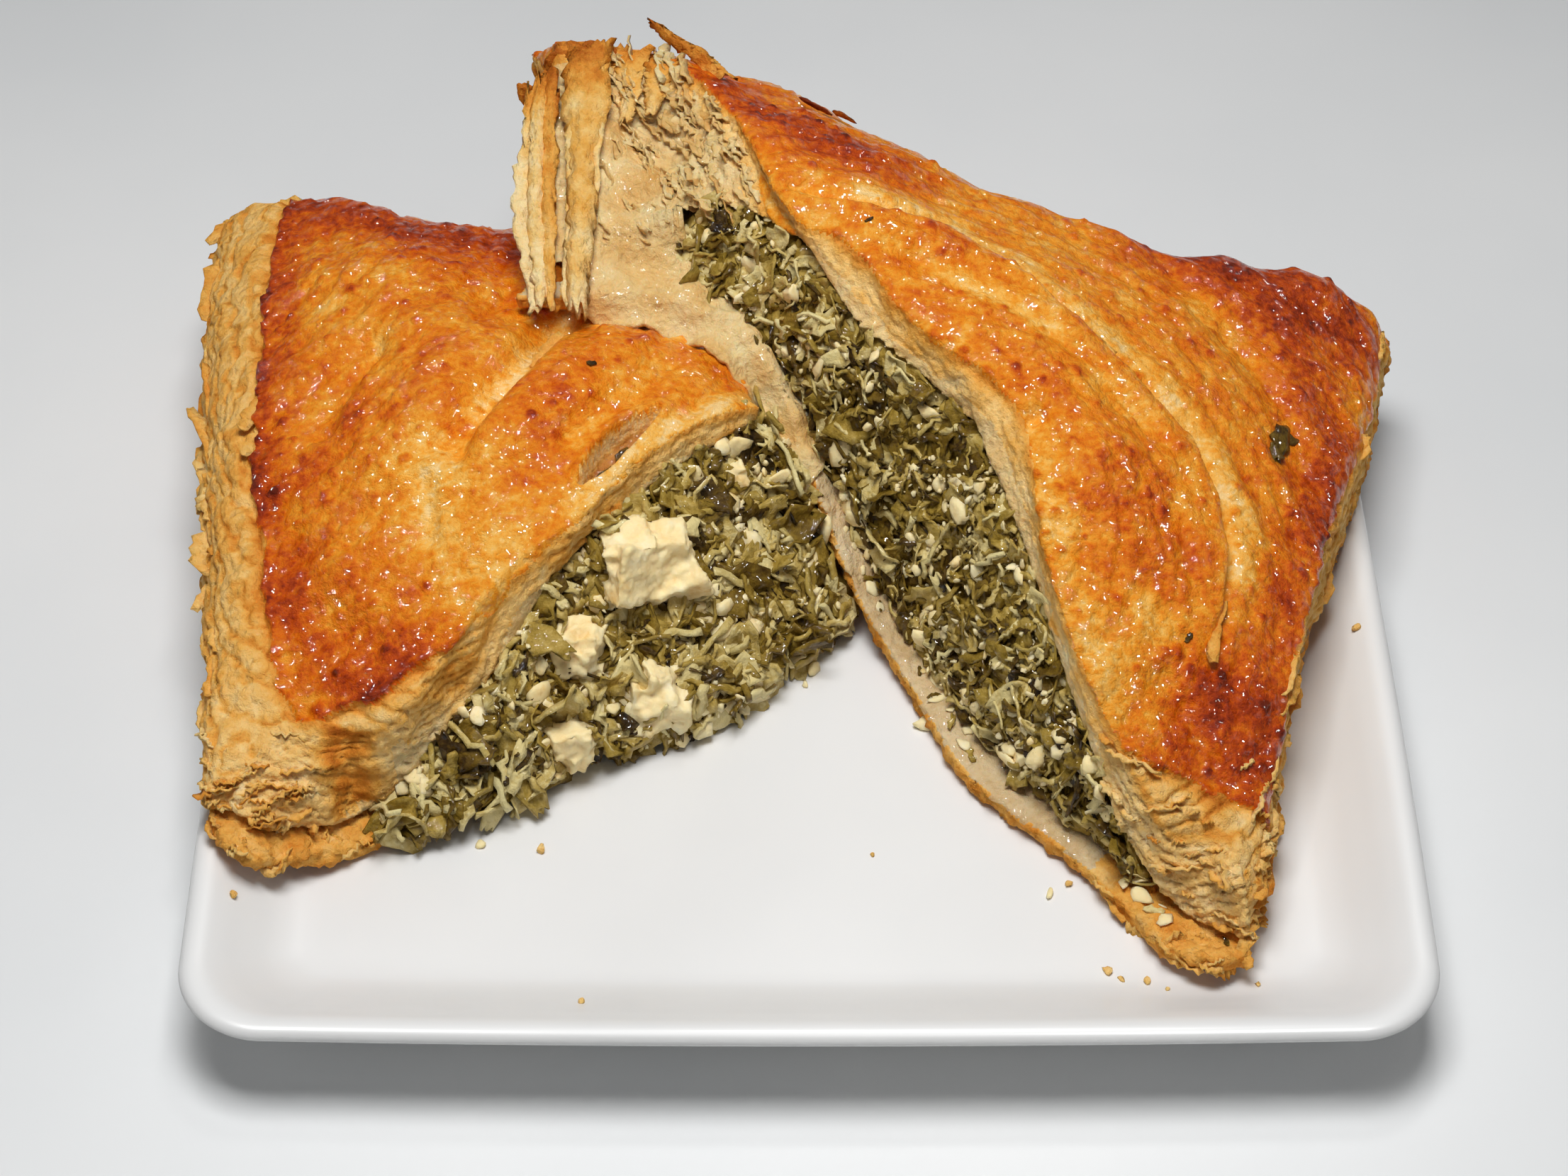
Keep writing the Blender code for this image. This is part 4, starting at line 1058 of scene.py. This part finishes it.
def inPatches(points):
    return smoothStep(lumps(points, 9, 77) + 0.6 * lumps(points, 4, 78), -0.25, 0.5)


def heapsWith(keep):
    return [(rightHeap, rightCrust, keep, 1.0), (leftHeap, leftCrust, keep, 1.4)]


openGreens = openSurface("openGreens", heapsWith(everywhere))
patchyGreens = openSurface("patchyGreens", heapsWith(inPatches))
rng = np.random.default_rng(52)
scrapBits = bitCollection("scrapBits", [
    scrap(rng.uniform(4.5, 10.5), rng.uniform(3.0, 6.0), rng.uniform(-0.25, 0.3), rng) for _ in range(20)])
strandBits = bitCollection("strandBits", [
    ribbon(rng.uniform(3.5, 8.0), rng.uniform(0.8, 1.7), rng.uniform(-1.6, 1.6), rng.uniform(-0.16, 0.16), rng)
    for _ in range(10)])
stemBits = bitCollection("stemBits", [
    ribbon(rng.uniform(6.0, 12.0), rng.uniform(0.6, 1.1), rng.uniform(-0.8, 0.8), rng.uniform(-0.1, 0.1), rng)
    for _ in range(6)])
crumbBits = bitCollection("crumbBits", [lump(rng.uniform(0.7, 2.0), rng, 2, 0.6) for _ in range(10)])
fineBits = bitCollection("fineBits", [lump(rng.uniform(0.35, 0.7), rng, 1, 0.8) for _ in range(8)])


def lay(name, surface, bits, finish, spacing, scales, tilt, heights, seed):
    mesh = scatterMesh(name, surface, bits, finishes[finish], {
        "Spacing": spacing * mm, "Smallest": scales[0], "Largest": scales[1], "Tilt": tilt,
        "Sunk": heights[0] * mm, "Proud": heights[1] * mm, "Seed": seed})
    makePiece(name, mesh, [finishes[finish]])
    dropBits(bits)
    print(name, "laid:", len(mesh.polygons), "faces")


# Spacing in mm, smallest and largest scale, tilt, lowest and highest place over the ground in mm, seed
lay("spinachScraps", openGreens, scrapBits, "greens", 2.05, (0.5, 1.25), 0.26, (-0.7, 0.6), 3)
lay("spinachStrands", openGreens, strandBits, "greens", 3.2, (0.6, 1.2), 0.3, (0.0, 0.9), 5)
lay("spinachStems", openGreens, stemBits, "stems", 6.5, (0.6, 1.1), 0.35, (0.4, 1.5), 8)
lay("cheeseCrumbs", patchyGreens, crumbBits, "cheese", 2.15, (0.4, 1.5), 0.8, (0.1, 1.4), 12)
lay("cheeseGrains", patchyGreens, fineBits, "cheese", 1.5, (0.5, 1.3), 3.0, (0.4, 1.4), 15)


def insideRim(points):  # patches on the right sheet, clear of its rim
    sheet, normals = readMesh(bpy.data.objects["rightSheet"].data)
    finder = pointFinder(sheet[np.abs(normals[:, 2]) < 0.5])
    return inPatches(points) * (np.array([finder.find(point)[2] for point in points]) > 2.5)


openSheet = openSurface("openSheet", [(bpy.data.objects["rightSheet"], rightCrust, insideRim, 1.0)])
rng = np.random.default_rng(66)
smearBits = bitCollection("smearBits", [lump(rng.uniform(0.8, 1.8), rng, 2, 0.35) for _ in range(6)])
shredBits = bitCollection("shredBits", [
    scrap(rng.uniform(2.0, 5.0), rng.uniform(1.0, 2.4), rng.uniform(-0.2, 0.2), rng) for _ in range(6)])
lay("curdSmears", openSheet, smearBits, "cheese", 3.0, (0.5, 1.2), 0.3, (0.0, 0.3), 22)
lay("strayShreds", openSheet, shredBits, "greens", 5.0, (0.5, 1.2), 0.2, (0.1, 0.4), 25)


# Leaves of the torn end, and flakes along the walls

# Each leaf follows a spine down the torn end, from its browned top to its pale foot: (spine, widths,
# tilt in degrees, curl, how brown its top, middle and foot are, how far it stands out).
endLeaves = {
    "thickness": 0.45,
    "leaves": [
        ([(-41, 76, 63.6), (-41, 66, 60.5), (-41, 54, 56.5), (-41, 44, 52.5), (-40, 35, 49.5)],
         (11, 9, 7), 0, 0.6, (0.85, 0.9, 0.6), -1.4),
        ([(-36, 80, 67.4), (-36, 74, 65.5), (-36.5, 62, 61), (-36.8, 46, 55.5), (-37, 31, 48.8)],
         (8.6, 5.6, 4.0), 8, 1.8, (0.62, 0.3, 0.1), 2.4),
        ([(-37.2, 79, 66.6), (-37.4, 72, 64.5), (-37.8, 60, 60), (-38, 46, 55), (-38.2, 32, 49)],
         (5.0, 4.0, 3.4), -34, 1.0, (0.6, 0.2, 0.06), 1.2),
        ([(-34.2, 79, 67), (-34.4, 72, 65), (-35, 60, 60.5), (-35.6, 46, 55), (-36.2, 33, 49.4)],
         (5.0, 3.6, 2.6), 44, 1.0, (0.5, 0.14, 0.04), 1.0),
        ([(-45, 76.5, 62.8), (-45.5, 66, 60), (-46, 54, 56), (-45.5, 44, 52.8), (-43.5, 33, 49)],
         (5.0, 7.0, 4.6), -38, 1.2, (0.5, 0.04, 0.0), 0.6),
        ([(-42.8, 77.5, 64), (-43, 68, 61.5), (-42.8, 56, 57.5), (-42.4, 45, 54), (-42, 32.5, 49.2)],
         (4.0, 3.0, 2.8), 30, 1.0, (0.66, 0.42, 0.2), 1.6),
        ([(-44.2, 77, 63.4), (-44.6, 67, 60.8), (-44.6, 56, 57.2), (-44.2, 45, 53.6), (-43, 33, 49.4)],
         (3.6, 3.0, 2.6), -10, 1.2, (0.5, 0.12, 0.02), 1.5),
        ([(-28.5, 78.5, 67.6), (-28.5, 74, 66), (-29.5, 66, 62.5)],
         (7.0, 4.4, 2.0), 24, 0.9, (0.5, 0.3, 0.12), 1.0),
        ([(-23.5, 75.5, 68), (-24, 72, 66.5), (-25, 66, 64)],
         (6.5, 4.6, 2.0), 10, 0.8, (0.5, 0.3, 0.16), 0.9),
        ([(-26, 84, 71), (-22, 81, 69.8), (-17, 77, 68.5), (-12, 72, 67)],
         (1.2, 3.6, 4.0), 40, 0.5, (0.7, 0.56, 0.5), 0.2),
    ],
}


def leafStrip(spine, widths, tilt, curl, browning, proud, seed):
    rows, columns = 46, 9
    spine = smoothLine(spine, rows)
    outward = np.array([0.0, -0.39, 0.92])
    tilt = math.radians(tilt)
    across = np.array([math.cos(tilt), 0.0, 0.0]) + outward * math.sin(tilt)
    widths = np.interp(np.linspace(0, 1, rows), [0.0, 0.45, 1.0], widths)
    rng = np.random.default_rng(seed)
    spine = spine + 0.5 * np.stack([lumps(spine + 40 * axis, 9, seed + 60) for axis in (0, 1, 2)], axis=1)
    waver = [np.interp(np.linspace(0, 1, rows), np.linspace(0, 1, 9), rng.uniform(0.8, 1.15, 9))
             + 0.09 * rng.standard_normal(rows) for _ in (0, 1)]
    ends = [np.interp(np.linspace(-1, 1, columns), np.linspace(-1, 1, 6), rng.uniform(low, high, 6))
            for low, high in ((-0.055, 0.06), (0.93, 1.05))]
    grid = np.zeros((rows, columns, 3))
    for j, v in enumerate(np.linspace(-1, 1, columns)):
        reach = np.linspace(ends[0][j] + 0.02 * rng.standard_normal(), ends[1][j], rows)
        for axis in range(3):
            edge = np.interp(reach, np.linspace(0, 1, rows), spine[:, axis])
            edge += (reach - np.clip(reach, 0, 1)) * (spine[-1, axis] - spine[0, axis])
            grid[:, j, axis] = edge
        grid[:, j] += across * (v * widths / 2 * waver[v > 0])[:, None]
        grid[:, j] += outward * (proud + curl * (1 - v * v))
    flat = grid.reshape(-1, 3)
    ripple = 0.6 * lumps(flat * (1, 0.35, 0.35), 2.4, seed) + 0.6 * roughness(flat, 2.2, 2, seed + 1)
    flat = flat + outward * ripple[:, None] + np.array([1.0, 0, 0]) * (0.5 * lumps(flat, 4, seed + 2))[:, None]
    points, faces = thinSolid(flat.reshape(rows, columns, 3), endLeaves["thickness"])
    share = np.tile(np.repeat(np.linspace(0, 1, rows), columns), 2)
    top, middle, foot = browning
    bake = np.interp(share, [0.0, 0.06, 0.22, 0.6, 1.0], [top + 0.06, top, middle, middle, foot])
    bake += 0.16 * lumps(points, 4, seed + 3) + 0.1 * lumps(points, 1.5, seed + 4)
    return points, faces, bake


def makeLeaves():
    made = [leafStrip(*leaf, 600 + 7 * k) for k, leaf in enumerate(endLeaves["leaves"])]
    points, faces = joined([(points, faces) for points, faces, _ in made])
    mesh = meshFrom("endLeaves", points, faces)
    storeValues(mesh, "bake", np.concatenate([bake for _, _, bake in made]))
    makePiece("endLeaves", mesh, [finishes["crumb"]])


makeLeaves()
print("end leaves made")


def landing(trees, x, y):  # height of the highest surface under a place
    found = [hitBelow(tree, x, y)[0] for tree in trees]
    return max((spot.z for spot in found if spot), default=0.0)


def pieceTree(name):
    return surfaceTree(bpy.data.objects[name].data)


# Wet dough lines the torn end, runs out over the lower sheet and hangs down onto the left half.
lining = {
    "top": [(-36, 71), (-33, 69), (-27, 65), (-22.5, 57), (-20, 49), (-16, 41), (-9, 33), (-3, 25.5), (5, 14)],
    "middle": [(-37, 39), (-34.5, 38.3), (-31, 37.5), (-24, 36.5), (-18, 34.5), (-12, 31), (-7, 27.5), (-2, 22),
               (4.5, 12)],
    "bottom": [(-36.8, 34), (-34.5, 32.6), (-31, 31), (-25, 30), (-19, 28), (-14.5, 24.5), (-9.5, 21),
               (-5, 16.5), (1, 8)],
    "thickness": 0.7,
}


def makeLining():
    rows, columns = 34, 110
    trees = [pieceTree(name) for name in ("rightCrust", "rightSheet", "leftCrust", "leftFilling")]
    lines = [smoothLine(lining[part], columns) for part in ("top", "middle", "bottom")]
    plan = np.zeros((rows, columns, 2))
    jag = 0.12 * lumps(np.stack([np.linspace(0, 60, columns)] + [np.zeros(columns)] * 2, axis=1), 2.6, 91)
    for i, v in enumerate(np.linspace(0, 1, rows)):
        upper, lower = (lines[0], lines[1]) if v < 0.7 else (lines[1], lines[2])
        part = v / 0.7 if v < 0.7 else (v - 0.7) / 0.3
        part = part + (jag if i == rows - 1 else 0.0)
        plan[i] = upper + (lower - upper) * np.reshape(part, (-1, 1))
    height = np.array([[landing(trees, x, y) for x, y in row] for row in plan])
    ground = height.copy()
    for k in range(24):
        padded = np.pad(height, 1, mode="edge")
        height = (padded[:-2, 1:-1] + padded[2:, 1:-1] + padded[1:-1, :-2] + padded[1:-1, 2:] + 2 * height) / 6
        if k % 4 == 3:
            height = np.maximum(height, ground)
    share = np.linspace(0, 1, rows)[:, None]
    lift = 0.9 - 1.9 * (1 - smoothStep(share, 0.0, 0.12)) - 0.5 * smoothStep(share, 0.8, 1.0)
    grid = np.concatenate([plan, (height + lift)[:, :, None]], axis=2)
    flat = grid.reshape(-1, 3)
    flat[:, 2] += 1.2 * lumps(flat, 7, 92) + 0.5 * lumps(flat, 2.6, 93)
    flat[:, 2] += 1.2 * (0.4 - np.abs(lumps(flat * (0.35, 1.0, 0.4), 4.5, 95)) * 2)
    points, faces = thinSolid(flat.reshape(rows, columns, 3), lining["thickness"])
    mesh = meshFrom("pocketLining", points, faces)
    rim = np.tile(np.repeat(np.linspace(0, 1, rows), columns), 2)
    storeValues(mesh, "bake", 0.2 + 0.26 * lumps(points, 7, 94) + 0.14 * smoothStep(rim, 0.86, 1.0)
                + 0.2 * (1 - smoothStep(rim, 0.0, 0.3)))
    makePiece("pocketLining", mesh, [finishes["dough"]])


makeLining()
print("lining made")


def flake(centre, along, outward, droop, length, reach, rng, bake, crinkle=0.3):  # thin ragged chip
    rows, columns = 9, 3
    grid = np.zeros((rows, columns, 3))
    beyond = np.cross(along, outward)
    ragged = rng.uniform(0.45, 1.1, rows)
    bow, phase = rng.uniform(-0.12, 0.12), rng.uniform(0, 6)
    for i, u in enumerate(np.linspace(-1, 1, rows)):
        shape = (1 - abs(u) ** 3) * ragged[i] + 0.05
        for j, v in enumerate((0.0, 0.6, 1.0)):
            out = -1.2 + (reach * shape + 1.2) * v
            waver = rng.normal(0, 0.14) + crinkle * math.sin(2.6 * i + phase)
            grid[i, j] = (centre + along * (u * length / 2) + outward * (out + bow * length * u * u)
                          + beyond * (droop * max(out, 0) + waver))
    points, faces = thinSolid(grid, 0.3)
    tone = bake + np.tile(np.tile((-0.05, 0.0, 0.07), rows), 2) + 0.06 * rng.standard_normal()
    return points, faces, tone


flakeSizes = {"wallLength": (4.0, 15.0), "wallReach": (0.5, 1.7), "tornLength": (2.5, 8.0),
              "tornReach": (0.5, 1.8)}


def makeFlakes(name, seed, where, count, lengths, reaches, lean, bake, grain=None, slide=(0, 0, 0)):
    rng = np.random.default_rng(seed)
    points, normals = readMesh(bpy.data.objects[name].data)
    spots = np.flatnonzero(where(points, normals))
    made = []
    for k in rng.choice(spots, count):
        normal = normals[k] / np.linalg.norm(normals[k])
        along = np.cross(normal, (0, 0, 1.0)) if grain is None else np.array(grain)
        along = along + 0.15 * rng.standard_normal(3)
        along -= normal * (along @ normal)
        along /= np.linalg.norm(along)
        outward = normal + np.array([0, 0, lean * rng.uniform(0.3, 1.2)])
        outward += np.array(slide) * rng.uniform(0.6, 1.4)
        outward /= np.linalg.norm(outward)
        length = rng.uniform(*lengths) * rng.uniform(0.55, 1.0)
        made.append(flake(points[k], along, outward, rng.uniform(-0.4, 0.4), length, rng.uniform(*reaches), rng,
                          bake + rng.uniform(-0.1, 0.12)))
    return made


def leftWall(points, normals):
    steep = (np.abs(normals[:, 2]) < 0.4) & (points[:, 2] > 9)
    return steep & ((normals[:, 0] < -0.5) | (normals[:, 1] > 0.6))


def rightWall(points, normals):
    steep = (np.abs(normals[:, 2]) < 0.4) & (points[:, 2] > 9)
    return steep & ((normals[:, 0] > 0.5) | (normals[:, 1] > 0.6))


def leftTip(points, normals):
    clear = np.hypot(points[:, 0] + 71, points[:, 1] + 48) > 7
    return clear & (points[:, 1] < -43) & (points[:, 0] < -66) & (normals[:, 1] < -0.2) & (normals[:, 2] < 0.8)


def rightTip(points, normals):
    return (points[:, 1] < -50) & (normals[:, 1] < 0.2) & (normals[:, 2] < 0.75) & (normals[:, 2] > -0.3)


def tornEnd(points, normals):
    facing = normals[:, 0] * -0.5 + normals[:, 1] * -0.5 + normals[:, 2] * 0.4
    away, side, _ = beside(points, smoothLine(rightCrust["cutEdge"], 90))
    nearEnd = (points[:, 0] < -4) & (points[:, 0] > -34) & (points[:, 1] > 46)
    return nearEnd & (facing > 0.2) & (away * side > 0.5)


def leftSheetEdge(points, normals):
    return (points[:, 0] < -60) & (points[:, 1] < -30) & (np.abs(normals[:, 2]) < 0.8)


def rightSheetTip(points, normals):
    return (points[:, 0] > 44) & (points[:, 1] < -48) & (np.abs(normals[:, 2]) < 0.9)


looseFlakes = [  # centre, direction, side it stands out to, length, reach, bake
    ((-103.5, 57, 32.5), (0.1, 1.0, 0.1), (-1.0, 0.1, 0.2), 15, 3.5, 0.3),
    ((-98.5, -6, 31), (0, 1.0, 0), (-1.0, 0, 0.1), 11, 2.6, 0.2),
    ((-97.5, 2, 27), (0, 1.0, 0.1), (-1.0, 0, -0.1), 13, 2.4, 0.16),
    ((3.5, 70.5, 63.3), (-0.9, 0.3, 0.3), (-0.7, 0.1, 0.7), 5.5, 1.3, 0.9),
    ((8, 69.5, 62.3), (-0.9, 0.2, 0.3), (-0.6, 0.1, 0.7), 4, 0.8, 0.85),
    ((-42, 80.5, 65.5), (0.9, 0.1, 0.3), (-0.2, 0.3, 0.9), 6, 2.8, 0.6),
    ((-35.5, 81, 67.5), (0.9, -0.2, 0.1), (0.1, 0.3, 0.9), 7, 2.6, 0.56),
    ((-30.5, 79.5, 68), (0.9, -0.2, 0.1), (-0.1, 0.3, 0.9), 5, 2.0, 0.5),
    ((-38, 80, 67), (0.9, 0.1, 0.1), (-0.1, 0.2, 0.95), 6, 3.0, 0.62),
    ((-33, 79.5, 67), (0.9, 0.1, 0.1), (0.1, 0.2, 0.95), 5, 2.2, 0.66),
    ((-27, 78, 67.5), (0.9, -0.2, 0.1), (0.1, 0.3, 0.9), 7, 2.4, 0.5),
    ((-43.5, 77, 64), (0.8, 0.1, 0.3), (-0.3, 0.2, 0.9), 5, 2.4, 0.66),
    ((-47.5, 76, 62), (0.7, 0.1, 0.5), (-0.5, 0.2, 0.8), 4, 2.4, 0.6),
    ((-20, 75, 68), (0.9, -0.3, 0.1), (0.1, 0.3, 0.9), 6, 1.8, 0.5),
]
tornGrain = (-0.46, 0.85, 0.4)
onWalls = (flakeSizes["wallLength"], flakeSizes["wallReach"])
onTips = (flakeSizes["tornLength"], flakeSizes["tornReach"])
flakings = [  # piece, seed, where, how many, sizes, how far they lean up, how brown they are
    ("leftCrust", 701, leftWall, 100, *onWalls, 0.2, 0.26),
    ("rightCrust", 702, rightWall, 70, *onWalls, 0.2, 0.32),
    ("rightCrust", 703, rightTip, 46, *onTips, 0.3, 0.2),
    ("leftCrust", 704, leftTip, 40, *onTips, 0.3, 0.26),
    ("leftSheet", 706, leftSheetEdge, 30, *onTips, 0.3, 0.26),
    ("rightSheet", 707, rightSheetTip, 28, *onTips, 0.3, 0.26),
]
madeFlakes = []
for flaking in flakings:
    madeFlakes += makeFlakes(*flaking)
rng = np.random.default_rng(77)
for centre, along, outward, length, reach, bake in looseFlakes:
    made = flake(np.array(centre), np.array(along), np.array(outward), 0.2, length, reach, rng, bake, 0.0)
    madeFlakes.append(made)
tornFlakes = makeFlakes("rightCrust", 705, tornEnd, 120, (5.0, 12.0), (1.0, 2.4), 0.1, 0.22, tornGrain,
                        (-0.4, -0.35, -0.2))


def flakePiece(name, flakes, finish):
    mesh = meshFrom(name, *joined([(points, faces) for points, faces, _ in flakes]))
    storeValues(mesh, "bake", np.concatenate([tone for _, _, tone in flakes]))
    makePiece(name, mesh, [finishes[finish]])
    print(name, "made:", len(mesh.polygons), "faces")


flakePiece("pastryFlakes", madeFlakes, "crumb")
flakePiece("tornLayers", tornFlakes, "dough")


# Feta chunks

def tiltedBlock(centre, half, rng):  # broken block with uneven corners
    turn = np.array(Euler(rng.uniform(-0.5, 0.5, 3)).to_matrix())
    corners = np.array([(x, y, z) for x in (-1, 1) for y in (-1, 1) for z in (-1, 1)], float)
    corners = corners * half * rng.uniform(0.7, 1.1, (8, 3))
    faces = [[0, 1, 3, 2], [4, 6, 7, 5], [0, 4, 5, 1], [2, 3, 7, 6], [0, 2, 6, 4], [1, 5, 7, 3]]
    return corners @ turn.T + centre, faces


chunkSizes = {"blocks": 9, "growth": {1: 1.25, 4: 1.45}, "usual": 1.12}


def makeChunk(number, seed):
    node = f"feta_{number}"
    points, _ = readMesh(frame["nodes"][node].data)
    centre = (points.max(axis=0) + points.min(axis=0)) / 2
    half = (points.max(axis=0) - points.min(axis=0)) / 2 * chunkSizes["growth"].get(number, chunkSizes["usual"])
    rng = np.random.default_rng(seed)
    blocks = [tiltedBlock(centre, half * 0.6, rng)]
    for _ in range(chunkSizes["blocks"]):
        way = rng.normal(size=3)
        way *= rng.uniform(0.35, 0.6) / np.linalg.norm(way)
        blocks.append(tiltedBlock(centre + way * half, half * rng.uniform(0.28, 0.5, 3), rng))
    blockPoints, blockFaces = joined(blocks)
    mesh = evenMesh(meshFrom(f"fetaChunk{number}", blockPoints, blockFaces), fineness["feta"])
    relax(mesh, 4)
    points, normals = readMesh(mesh)
    crags = roughness(points, 3.0, 3, seed + 3) - 0.8 * smoothStep(lumps(points, 2.2, seed + 5), 0.2, 0.6)
    writePoints(mesh, points + normals * (0.6 * crags)[:, None])
    makePiece(f"fetaChunk{number}", mesh, [finishes["cheese"]], [node])


for number in range(1, 7):
    makeChunk(number, 400 + number * 11)
print("feta made")


# Stray bits

# Each stray bit lies at (x, y), turned, on whatever is under it.
strayBits = {
    # (place, length, width, turn) and (place, radius)
    "herbs": [((-31.5, -3), 4.5, 2.4, 0.9), ((-28.5, 1.5), 3.5, 1.8, 1.1), ((80, 8), 8.0, 4.0, 1.2),
              ((79, 5), 5.0, 2.6, 2.0), ((82, 10), 4.0, 2.0, 0.4), ((-34, 16), 1.6, 1.0, 0.3),
              ((61, -36), 1.8, 1.0, 1.0), ((12, 33), 1.6, 0.8, 0.5)],
    "cheese": [((21, -26), 1.9), ((24, -24.5), 1.0), ((3, -14), 1.6), ((40, -61), 0.8), ((1.5, -17), 0.7),
               ((-51, -51), 0.8)],
    "crust": [((-41, -52), 1.1), ((48, -76), 0.9), ((50, -77.5), 0.6), ((54, -78), 0.7), ((43, -59), 0.8),
              ((12, -53), 0.5), ((94, -11), 0.9), ((-33, -84), 0.6), ((57, -80), 0.45), ((-88, -66), 0.7),
              ((71, -79), 0.6)],
}


def heightOf(hit):
    return hit[0].z


def placed(shape, x, y, turn, trees, lift):
    points, faces = shape
    c, s = math.cos(turn), math.sin(turn)
    found = [hitBelow(tree, x, y)[:2] for tree in trees]
    spot, normal = max([hit for hit in found if hit[0]], key=heightOf)
    lean = np.array(Vector((0, 0, 1)).rotation_difference(normal).to_matrix())
    flat = points @ np.array([[c, s, 0], [-s, c, 0], [0, 0, 1]])
    return flat @ lean.T + np.array(spot) + np.array(normal) * lift, faces


def makeStrays():
    trees = [pieceTree(name) for name in ("rightCrust", "leftCrust", "glazedPlate")]
    rng = np.random.default_rng(88)
    herbs = [placed(scrap(length, width, -0.05, rng), x, y, turn, trees, 0.25 + 0.07 * width)
             for (x, y), length, width, turn in strayBits["herbs"]]
    mesh = meshFrom("herbFlecks", *joined(herbs))
    storeValues(mesh, "tone", np.full(len(mesh.vertices), 0.12))
    makePiece("herbFlecks", mesh, [finishes["greens"]])
    for kind, finish, slotName in (("cheese", "cheese", "feta"), ("crust", "crumb", "brown crust")):
        bits = [placed(lump(radius, rng, 2), x, y, rng.uniform(0, 6), trees, radius * 0.5)
                for (x, y), radius in strayBits[kind]]
        mesh = meshFrom(kind + "Strays", *joined(bits))
        storeValues(mesh, "bake", np.full(len(mesh.vertices), 0.2))
        makePiece(kind + "Strays", mesh, [finishes[finish]])


makeStrays()
print("stray bits made")


# Table, light and camera

view = {"elevation": 47.0, "distance": 524.5, "aim": (-2.1, -2.3, 18.0), "lens": 71.1, "sensor": 36.0}


def placeAt(item, position, aim):
    item.location = Vector(position) * mm
    item.rotation_euler = (Vector(position) - Vector(aim)).to_track_quat("Z", "Y").to_euler()


def makeCamera():
    lens = bpy.data.cameras.new("camera")
    lens.lens = view["lens"]
    lens.sensor_width = view["sensor"]
    lens.clip_start = 0.01
    camera = newObject("camera", lens)
    tilt = math.radians(view["elevation"])
    aim = view["aim"]
    back, up = view["distance"] * math.cos(tilt), view["distance"] * math.sin(tilt)
    placeAt(camera, (aim[0], aim[1] - back, aim[2] + up), aim)
    scene.camera = camera


# A soft box lights the pie. The sparkle lamps only show as points of light in what is wet.
lamps = {
    "overheadSoftbox": {"position": (-20, -70, 560), "size": (220, 200), "power": 2.6, "sparkle": False},
    "sparkle0": {"position": (50, 110, 540), "size": (45, 45), "power": 2.0, "sparkle": True},
    "sparkle1": {"position": (-170, -60, 520), "size": (45, 45), "power": 2.0, "sparkle": True},
    "sparkle2": {"position": (160, -150, 500), "size": (45, 45), "power": 2.0, "sparkle": True},
}


def makeLight(name, position, size, power, sparkle):
    lamp = bpy.data.lights.new(name, "AREA")
    lamp.shape = "RECTANGLE"
    lamp.size, lamp.size_y = size[0] * mm, size[1] * mm
    lamp.energy = power
    item = newObject(name, lamp)
    placeAt(item, position, (0, 0, 20))
    item.visible_diffuse = not sparkle
    item.visible_glossy = sparkle


def makeTable():
    half = 1500
    mesh = meshFrom("tableTop", [(-half, -half, 0), (half, -half, 0), (half, half, 0), (-half, half, 0)],
                    [(0, 1, 2, 3)])
    mesh.materials.append(finishes["table"])
    newObject("tableTop", mesh)


makeCamera()
makeTable()
for name, spec in lamps.items():
    makeLight(name, **spec)
world = bpy.data.worlds.new("studio")
world.use_nodes = True
world.node_tree.nodes["Background"].inputs["Color"].default_value = linearColour("#eeeeee")
world.node_tree.nodes["Background"].inputs["Strength"].default_value = 0.18
scene.world = world
scene.view_settings.view_transform = "Standard"
print("stage made")
